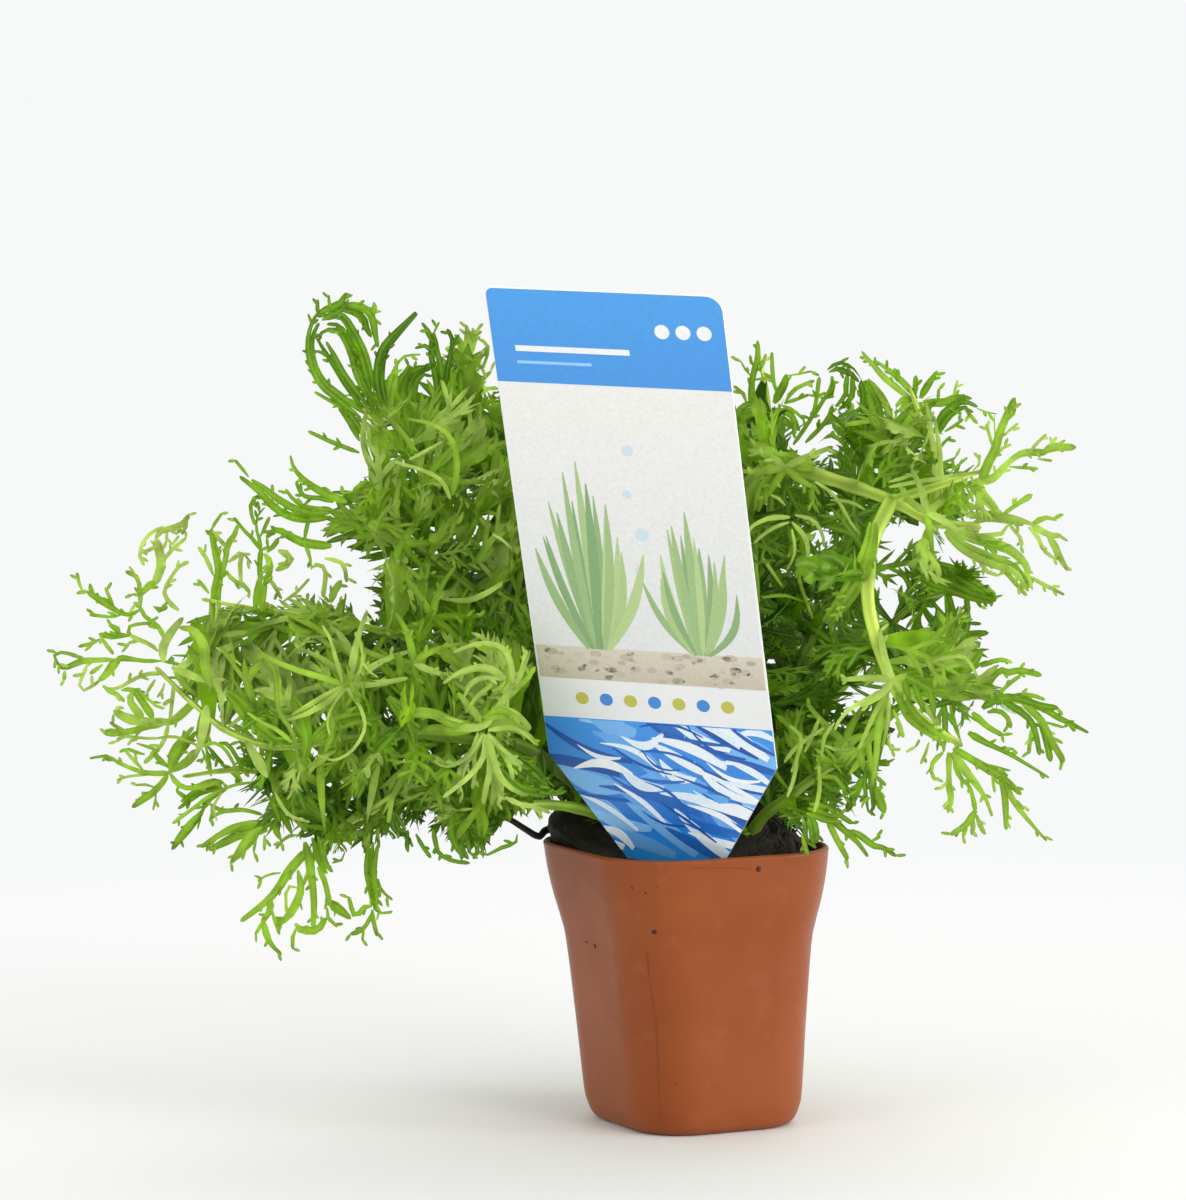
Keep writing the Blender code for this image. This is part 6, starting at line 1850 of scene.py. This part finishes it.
def nibs(line, rng):
    """Small side tips along a blade."""
    length = np.linalg.norm(np.diff(line, axis=0), axis=1).sum()
    made = []
    for _ in range(int(length / 3.6 + rng.random())):
        index = min(len(line) - 2, int(rng.uniform(0.25, 0.95) * len(line)))
        way = line[index + 1] - line[index]
        angle = math.atan2(way[1], way[0]) + rng.choice((-1, 1)) * math.radians(rng.uniform(28, 55))
        size = rng.uniform(1.2, 2.4)
        bend = math.radians(rng.uniform(-25, 25))
        made.append(np.array(curved_line(tuple(line[index]), angle, size, bend, 3)))
    return made


# The grid of small cells on the plane y = 0: its start and its cells' size in millimetres, and
# its number of columns and rows.
GRID_START = (-130.0, 30.0)
GRID_CELL = 0.5
GRID_COUNTS = (440, 290)


def outline_grid():
    """Which small cells of the plane y = 0 lie in the outline and out of the gaps."""
    marks = [start + GRID_CELL * np.arange(count) for start, count in zip(GRID_START, GRID_COUNTS)]
    x, z = np.meshgrid(*marks, indexing="ij")
    inside = np.zeros(x.shape, bool)
    for index, (x1, z1) in enumerate(OUTLINE):
        x0, z0 = OUTLINE[index - 1]
        if z0 != z1:
            inside ^= ((z0 > z) != (z1 > z)) & (x < x0 + (x1 - x0) * (z - z0) / (z1 - z0))
    for gap_x, gap_z, wide, tall in GAPS:
        inside &= ((x - gap_x) / wide) ** 2 + ((z - gap_z) / tall) ** 2 > 1
    return inside


GRID = outline_grid()


def in_outline(point):
    """True where a point shows in the dense part of the foliage."""
    x, z = seen_at(point)
    column = int((x - GRID_START[0]) / GRID_CELL)
    row = int((z - GRID_START[1]) / GRID_CELL)
    return 0 <= column < GRID.shape[0] and 0 <= row < GRID.shape[1] and bool(GRID[column, row])


def off_the_label(point):
    """True where a leaf neither cuts the label nor hides it from the camera."""
    point = Vector(point)
    local = point - LABEL_FOOT
    front = local.dot(LABEL_FACING) / MM
    if front < -1.5:
        return True
    ray = point - CAMERA_PLACE
    onward = (LABEL_FOOT - point).dot(LABEL_FACING) / ray.dot(LABEL_FACING)
    hidden = local + ray * onward
    for spot, margin in ((local, 2.0), (hidden, 0.8)):
        across, up = spot.dot(LABEL_ACROSS) / MM, spot.dot(LABEL_UPWARD) / MM
        if -4 < up < LABEL_TOP + margin and abs(across) < label_half(up) + margin:
            return False
    return True


def label_half(up):
    """Half the label's width at a height along it, in millimetres."""
    return min(LABEL_WIDTH, LABEL_NECK + (LABEL_WIDTH - LABEL_NECK) * up / LABEL_SHOULDER) / 2


POT_CLEAR_HEIGHT = 58
POT_CLEAR_RADIUS = 31
BOX_MARGIN = 2


def off_the_pot(point):
    """True above the pot or beside it."""
    return point[2] > POT_CLEAR_HEIGHT * MM or math.hypot(point[0], point[1]) > POT_CLEAR_RADIUS * MM


def in_the_box(point):
    """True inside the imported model's box, give or take a margin."""
    low, high = cad_box
    margin = BOX_MARGIN * MM
    return all(low[axis] - margin < point[axis] < high[axis] + margin for axis in range(3))


def fits(marks, reach=0.16):
    """True if a leaf on this midrib stays in the outline and clear of the label and the pot."""
    place, ahead = bezier(marks, np.array([0.35, 0.65, 0.85, 1.0]))
    length = np.linalg.norm(np.array(marks[3]) - np.array(marks[0]))
    across = np.cross(ahead, [0.0, 1.0, 0.0])
    for middle, side, spread in zip(place, across, (0.6, 1.0, 0.8, 0.0)):
        for push in (-1, 0, 1):
            point = middle + side * push * spread * reach * length
            if not (in_outline(point) and off_the_label(point) and off_the_pot(point) and in_the_box(point)):
                return False
        if not (off_the_stems(middle) and off_the_hollows(middle)):
            return False
    return True


# Dark hollows between the leaves, as the camera sees them: centre and half sizes on the plane
# y = 0, in millimetres. Only leaves that stand well back show in them.
HOLLOWS = [
    (-53.5, 135, 4.2, 3.4), (-54, 147, 2.6, 2.2), (-42, 119.5, 2.4, 1.4), (-45, 109, 3, 2),
    (-38, 104, 3, 3.5),
    (-34, 83, 2.8, 2.4), (-63, 97, 3.2, 3.6), (-62.5, 85, 2.8, 2.6), (-49.5, 76, 4.2, 1.8),
    (-37, 66.5, 1.8, 1.6),
    (-34, 74, 3.6, 4), (-50, 101, 3.6, 2), (-60.5, 76, 1.5, 1.2), (-73.5, 79, 2.4, 2.2),
    (-101, 92.6, 2.2, 1.9),
    (-82, 99, 1.5, 2), (-76, 64, 2, 1.5), (-86, 88, 1.6, 1.0), (22, 93, 4.6, 4), (27, 98, 3, 2),
    (26, 88, 4, 1.6),
    (42, 94, 2.2, 2.6), (15, 64, 4, 4.5), (20, 68, 2.6, 3), (27, 68, 2, 2), (47, 99, 2.4, 1.5),
    (14, 122, 2.6, 1.5),
    (27, 119, 2.8, 3.2), (31, 137, 3.6, 2.4), (15, 108, 3.6, 4), (22, 104, 2.8, 2.8), (47, 104, 2.4, 1.8),
    (33, 121.5, 1.8, 1.4), (28, 132, 2.8, 1.2),
]
HOLLOW_DEPTH = 20


def off_the_hollows(point):
    """True out of the dark hollows, or well behind their front."""
    x, z = seen_at(point)
    return behind(point) > HOLLOW_DEPTH or all(
        ((x - mid_x) / wide) ** 2 + ((z - mid_z) / tall) ** 2 > 1 for mid_x, mid_z, wide, tall in HOLLOWS)


def marks_along(name, first, count):
    """Points along a stem from a share of its length to its end, and where they show."""
    for share in np.linspace(first, 1, count).tolist():
        place = along(name, share)[0]
        yield (*seen_at(place), place.y / MM)


# The bare parts of the thick stems that show: each begins at this share of its stem's length.
BARE_FROM = {"right_thick": 0.58, "right_down": 0.0}

# How far from the middle of a strand or a bare stem nothing may hide it, in millimetres.
STRAND_CLEAR = 0.8
STEM_CLEAR = 2.7
STEM_FRONT = 1.5


def clear_places():
    """Where the thick pale stems and the pale strands show: no leaf set by chance hides them."""
    places = []
    for _, near, far, _, blades in STRANDS:
        for _, *marks in blades:
            for x, z in smooth_levels(marks, 3):
                places.append((x, z, max(near, far), STRAND_CLEAR))
    for name, first in BARE_FROM.items():
        for x, z, depth in marks_along(name, first, 30):
            places.append((x, z, depth + STEM_FRONT, STEM_CLEAR))
    return np.array(places)


CLEAR = clear_places()


def off_the_stems(point):
    """True where a point hides no bare stem and no strand."""
    x, z = seen_at(point)
    near = np.hypot(CLEAR[:, 0] - x, CLEAR[:, 1] - z) < CLEAR[:, 3]
    return not bool((near & (CLEAR[:, 2] > point[1] / MM)).any())


def leaf_marks(place, radial, way, length, rng, apex):
    """The four marks of a whorl leaf's midrib: out from the stem, then up or down to its tip."""
    lean = rng.uniform(0.75, 1.3) if apex else rng.uniform(0.15, 0.6)
    out = (radial + way * lean).normalized()
    turn_up = rng.uniform(-0.35, 0.45) if radial.z > -0.2 else rng.uniform(-0.25, 0.55)
    tip = place + (out + UP * turn_up * 0.5).normalized() * length * 0.96
    first = place + (radial + way * (lean - 0.25)).normalized() * length * 0.38
    second = place.lerp(tip, 0.68) + (radial * 0.10 + UP * rng.uniform(-0.05, 0.12)) * length
    return [place, first, second, tip]


# Where the stems' leafy parts show, and their depth, in millimetres.
STEM_MARKS = np.array([mark for name in STEMS for mark in marks_along(name, LEAFY[name][0], 24)])
STEM_AROUND = 16
LEAVES_BEFORE_STEM = 8


def behind(point):
    """How far a point lies behind the foliage's front there, in millimetres."""
    x, z = seen_at(point)
    near = np.hypot(STEM_MARKS[:, 0] - x, STEM_MARKS[:, 1] - z) < STEM_AROUND
    return point[1] / MM - STEM_MARKS[near, 2].min() + LEAVES_BEFORE_STEM if near.any() else 0.0


# The way in which leaves show their faces: to the front and a little up.
SHOWN = Vector((0, -0.8, 0.5))


def add_chance_leaf(foliage, piece, kind, marks, way, radial, youth_and_shade, rng):
    """One leaf with its face turned partly up and to the front, its green darker the deeper it lies behind
    the foliage's front: painted shade.
    """
    # Painted shade: leaves deep behind the foliage's front get a darker green.
    youth_and_shade -= min(0.38, 0.017 * max(0.0, behind(marks[3]) - 8))
    youth_and_shade += 0.34 * noise.noise(Vector(marks[3]) * 55) + rng.gauss(0, 0.13)
    foliage.leaf(
        piece, kind, rng.randrange(VARIANTS), marks, way * 0.3 - radial * 0.3 + SHOWN,
        min(1.0, max(0.0, youth_and_shade)), rng.uniform(0.9, 1.2), rng.gauss(0, 0.35),
        rng.uniform(0.0, 0.3), rng.uniform(-0.3, 0.6))


def radial_way(way, angle):
    """The direction straight out from a stem, at an angle round it."""
    first = way.orthogonal().normalized()
    return first * math.cos(angle) + way.cross(first) * math.sin(angle)


def make_whorls(foliage):
    """Leaves right round every stem, whorl by whorl."""
    rng = random.Random(11)
    kinds = ["feather"] * 5 + ["fern"] * 5 + ["strap"] * 6 + ["arc"] * 2
    kinds_below = kinds + ["broad"] * 2
    for name, (foot_radius, tip_radius, _) in STEMS.items():
        for share in whorl_places(name):
            piece, reach = nearest_whorl(name, share)
            reach *= rng.uniform(0.95, 1.15)
            place, way = along(name, share)
            apex = share > 0.97
            stem_radius = (foot_radius + (tip_radius - foot_radius) * share) * MM
            count = 8 if reach > 16 * MM else 7
            turn = rng.uniform(0, 2 * math.pi)
            youth_and_shade = LEAFY[name][2] - 0.12 + 0.24 * share
            for index in range(count):
                for attempt in range(7):
                    angle = turn + 2 * math.pi * index / count + rng.uniform(-0.3, 0.3) * (1 + attempt * 0.5)
                    radial = radial_way(way, angle)
                    size = reach * rng.uniform(0.85, 1.05) * (1 - 0.09 * attempt)
                    marks = leaf_marks(place + radial * stem_radius * 0.6, radial, way, size, rng, apex)
                    if fits(marks):
                        kind = rng.choice(kinds if apex else kinds_below)
                        add_chance_leaf(foliage, piece, kind, marks, way, radial, youth_and_shade, rng)
                        break
            if apex:
                add_bud(foliage, piece, place, way, reach, rng)


def add_bud(foliage, piece, place, way, reach, rng):
    """The small young leaves at a shoot's end."""
    for index in range(6):
        radial = radial_way(way, 2.4 * index)
        size = reach * rng.uniform(0.28, 0.5)
        start = place + way * 0.6 * MM
        tip = start + (way + radial * rng.uniform(0.25, 0.6)).normalized() * size
        marks = [start, start + (way * 0.5 + radial * 0.5) * size * 0.4, start.lerp(tip, 0.7), tip]
        if fits(marks, 0.1):
            foliage.leaf(
                piece, rng.choice(["fern", "feather"]), rng.randrange(VARIANTS), marks, radial * -1, 0.95,
                1.1, rng.gauss(0, 0.3), 0.35)


# The filling leaves: the span and spacing of the places that they aim at, how near or far those
# may be from a leaf's foot as the camera sees it, the spacing of the feet along a stem and the
# greatest length of a leaf, in millimetres. Each place tries this many feet.
FILL_ACROSS = (-112.0, 72)
FILL_UP = (50.0, 166)
FILL_SPACING = 4.2
FILL_REACH = (6.0, 21.0)
FOOT_SPACING = 4
FILL_LONGEST = 23
FILL_TRIES = 14


def fill_starts():
    """Places along the stems where filling leaves may start, and where they show."""
    starts = []
    for name in STEMS:
        first = LEAFY[name][0] * 0.7
        count = round(LENGTHS[name][-1] / MM * (1 - first) / FOOT_SPACING)
        for index in range(count):
            share = first + (1 - first) * (index + 0.5) / count
            place, way = along(name, share)
            starts.append((name, share, place, way, seen_at(place)))
    return starts


def fill_place(foliage, kinds, near, aim, rng):
    """One leaf from the first of the near places from which it can reach its aim."""
    for name, share, place, way, _ in near:
        tip = seen_point(*aim, place.y / MM + rng.uniform(-12, 7))
        length = (tip - place).length
        if length > FILL_LONGEST * MM or not in_outline(tip):
            continue
        radial = (tip - place).normalized()
        lift = UP * rng.uniform(-0.05, 0.16) * length
        marks = [place, place.lerp(tip, 0.34) + lift, place.lerp(tip, 0.70) + lift * 0.7, tip]
        if fits(marks):
            piece, _ = nearest_whorl(name, share)
            youth_and_shade = LEAFY[name][2] - 0.18 + 0.2 * share
            add_chance_leaf(foliage, piece, rng.choice(kinds), marks, way, radial, youth_and_shade, rng)
            return


def fill_outline(foliage):
    """Leaves aimed at every part of the outline, each from a stem that is near it."""
    rng = random.Random(31)
    kinds = ["feather"] * 3 + ["fern"] * 4 + ["strap"] * 6 + ["broad"] * 3 + ["arc"] * 2
    starts = fill_starts()
    nearest, farthest = FILL_REACH
    x = FILL_ACROSS[0]
    while x < FILL_ACROSS[1]:
        z = FILL_UP[0]
        while z < FILL_UP[1]:
            aim = (x + rng.uniform(-2, 2), z + rng.uniform(-2, 2))
            near = sorted(starts, key=lambda start: math.dist(start[4], aim))
            near = [start for start in near if nearest < math.dist(start[4], aim) < farthest][:FILL_TRIES]
            rng.shuffle(near)
            fill_place(foliage, kinds, near, aim, rng)
            z += FILL_SPACING
        x += FILL_SPACING


# Star-shaped young whorls at the front: each one's piece, centre on the plane y = 0, depth,
# number of leaves, reach and youth. All lengths are in millimetres.
ACCENTS = [
    ("left_long_2", -68.5, 87.5, -34, 8, 14, 0.95), ("left_long_3", -103.4, 90.4, -25, 7, 12, 1.0),
    ("left_long_1", -56, 92, -31, 6, 12, 0.80), ("left_mid_2", -76, 98, -20, 7, 11, 0.85),
    ("left_mid_1", -52, 101, -14, 6, 12, 0.70), ("left_low_1", -66, 72, -18, 6, 12, 0.75),
    ("left_low_2", -84, 68, -20, 7, 12, 0.80), ("left_upper_low_1", -58, 116, -6, 6, 12, 0.75),
    ("left_upper_1", -54, 128, 4, 6, 13, 0.80), ("left_tall_1", -42, 134, 24, 6, 12, 0.80),
    ("right_thick_1", 18, 131, -22, 6, 10, 0.85), ("right_top_1", 30, 122, 6, 6, 11, 0.70),
    ("right_vertical_1", 16, 112, 12, 7, 11, 0.60), ("right_top_1", 28, 96, 10, 6, 12, 0.60),
    ("right_low_1", 30, 76, -24, 6, 12, 0.80), ("right_down_1", 39.5, 88.5, -36, 7, 12, 0.95),
    ("right_thick_2", 46, 122, -30, 6, 10, 0.95),
]
ACCENT_WIDTHS = (1.5, 1.5, 1.1, 0.8)


def add_accents(foliage):
    """The star-shaped whorls, blade by blade."""
    rng = random.Random(61)
    for name, x, z, depth, count, reach, young in ACCENTS:
        turn = rng.uniform(0, 2 * math.pi)
        blades = []
        for index in range(count):
            way = turn + 2 * math.pi * (index + rng.uniform(-0.25, 0.25)) / count
            bend = math.radians(rng.uniform(-45, 45))
            line = curved_line((x, z), way, reach * rng.uniform(0.7, 1.1), bend, 4)
            tip = seen_point(*line[-1], depth)
            if in_outline(tip) and off_the_label(tip):
                blades.append([ACCENT_WIDTHS, *line])
        if blades:
            foliage.drawn("leaves_" + name, depth, depth + 3, young, blades, rng)


def add_drawn(foliage):
    """The leaves and strands whose shapes are given one by one."""
    rng = random.Random(47)
    for rows, tips in ((DRAWN, True), (STRANDS, False)):
        for name, near, far, young, blades in rows:
            foliage.drawn("leaves_" + name, near, far, young, blades, rng, tips)


# Stage, lights and camera

# The surroundings' colour, and their brightness at the sides and overhead.
WHITE = (0.985, 0.995, 1.0)
FAR_WHITE = 0.945
OVERHEAD_WHITE = 0.70

# The floor's radius, and the distances between which it fades to white, in metres.
FLOOR_RADIUS = 9.0
FADE_FROM = 0.04
FADE_TO = 0.45


def make_stage():
    """A pale round floor that fades into the white surroundings far from the plant."""
    shape = bmesh.new()
    bmesh.ops.create_circle(shape, cap_ends=True, segments=96, radius=FLOOR_RADIUS)
    mesh = baked_mesh("floor", shape)
    made = Surface("floor", base_color=(0.85, 0.85, 0.82, 1.0), roughness=0.9, specular_ior_level=0.2)
    away = made.node("ShaderNodeVectorMath", {0: made.place()}, operation="LENGTH").outputs["Value"]
    fade = made.node("ShaderNodeMapRange", {"Value": away, "From Min": FADE_FROM, "From Max": FADE_TO})
    far = made.node("ShaderNodeEmission", {"Color": (*WHITE, 1.0), "Strength": FAR_WHITE})
    made.mix_in(far, fade.outputs["Result"])
    mesh.materials.append(made.material)
    add_object("floor", mesh)


# Each soft light: its place in metres, its width, its power in watts and its colour.
LIGHTS = {
    "key_right": ((0.66, -0.90, 0.85), 0.6, 4.3, (1.0, 0.985, 0.96)),
    "fill_left": ((-0.95, -0.75, 0.55), 0.9, 3.1, (1.0, 0.99, 0.965)),
    "top_back": ((0.1, 0.75, 1.0), 1.2, 5.0, (1.0, 1.0, 1.0)),
    "rim_right": ((0.82, -0.24, 0.14), 0.32, 3.6, (1.0, 0.99, 0.97)),
}


# The point that the soft lights are turned to, in metres.
LIT_POINT = Vector((-20, 0, 80)) * MM


def make_lights():
    """White surroundings, a little dimmer overhead, and the soft lights."""
    world = bpy.data.worlds.new("white_studio")
    world.use_nodes = True
    background = world.node_tree.nodes["Background"]
    background.inputs["Color"].default_value = (*WHITE, 1.0)
    nodes, links = world.node_tree.nodes, world.node_tree.links
    parts = nodes.new("ShaderNodeSeparateXYZ")
    links.new(nodes.new("ShaderNodeTexCoord").outputs["Generated"], parts.inputs[0])
    fade = nodes.new("ShaderNodeMapRange")
    for key, value in (
            ("From Min", 0.35), ("From Max", 0.60), ("To Min", FAR_WHITE), ("To Max", OVERHEAD_WHITE)):
        fade.inputs[key].default_value = value
    links.new(parts.outputs["Z"], fade.inputs["Value"])
    links.new(fade.outputs["Result"], background.inputs["Strength"])
    bpy.context.scene.world = world
    for name, (place, width, power, color) in LIGHTS.items():
        data = bpy.data.lights.new(name, "AREA")
        data.shape = "DISK"
        data.size = width
        data.energy = power
        data.color = color
        light = add_object(name, data)
        light.location = place
        light.rotation_euler = (Vector(place) - LIT_POINT).to_track_quat("Z", "Y").to_euler()


def make_camera():
    """The camera that sees the plant as the photograph does."""
    data = bpy.data.cameras.new("camera")
    data.lens = CAMERA_LENS
    data.sensor_width = 36.0
    data.clip_start = 0.05
    data.clip_end = 50.0
    camera = add_object("camera", data)
    camera.location = CAMERA_PLACE
    camera.rotation_euler = (math.radians(90) - CAMERA_PITCH, 0, 0)
    bpy.context.scene.camera = camera
    bpy.context.scene.view_settings.view_transform = "Standard"


def main():
    """Builds the whole scene, piece by piece."""
    make_camera()
    make_stage()
    make_lights()
    make_pot(pot_surface(), dirt_surface())
    make_medium(medium_surface())
    make_label(sheet_surface(), ink_surface())
    flesh = stem_surface()
    rng = random.Random(2)
    for name in STEMS:
        make_stem(name, flesh, rng)
    foliage = Foliage()
    add_drawn(foliage)
    add_accents(foliage)
    make_whorls(foliage)
    fill_outline(foliage)
    foliage.build(leaf_surface())


main()
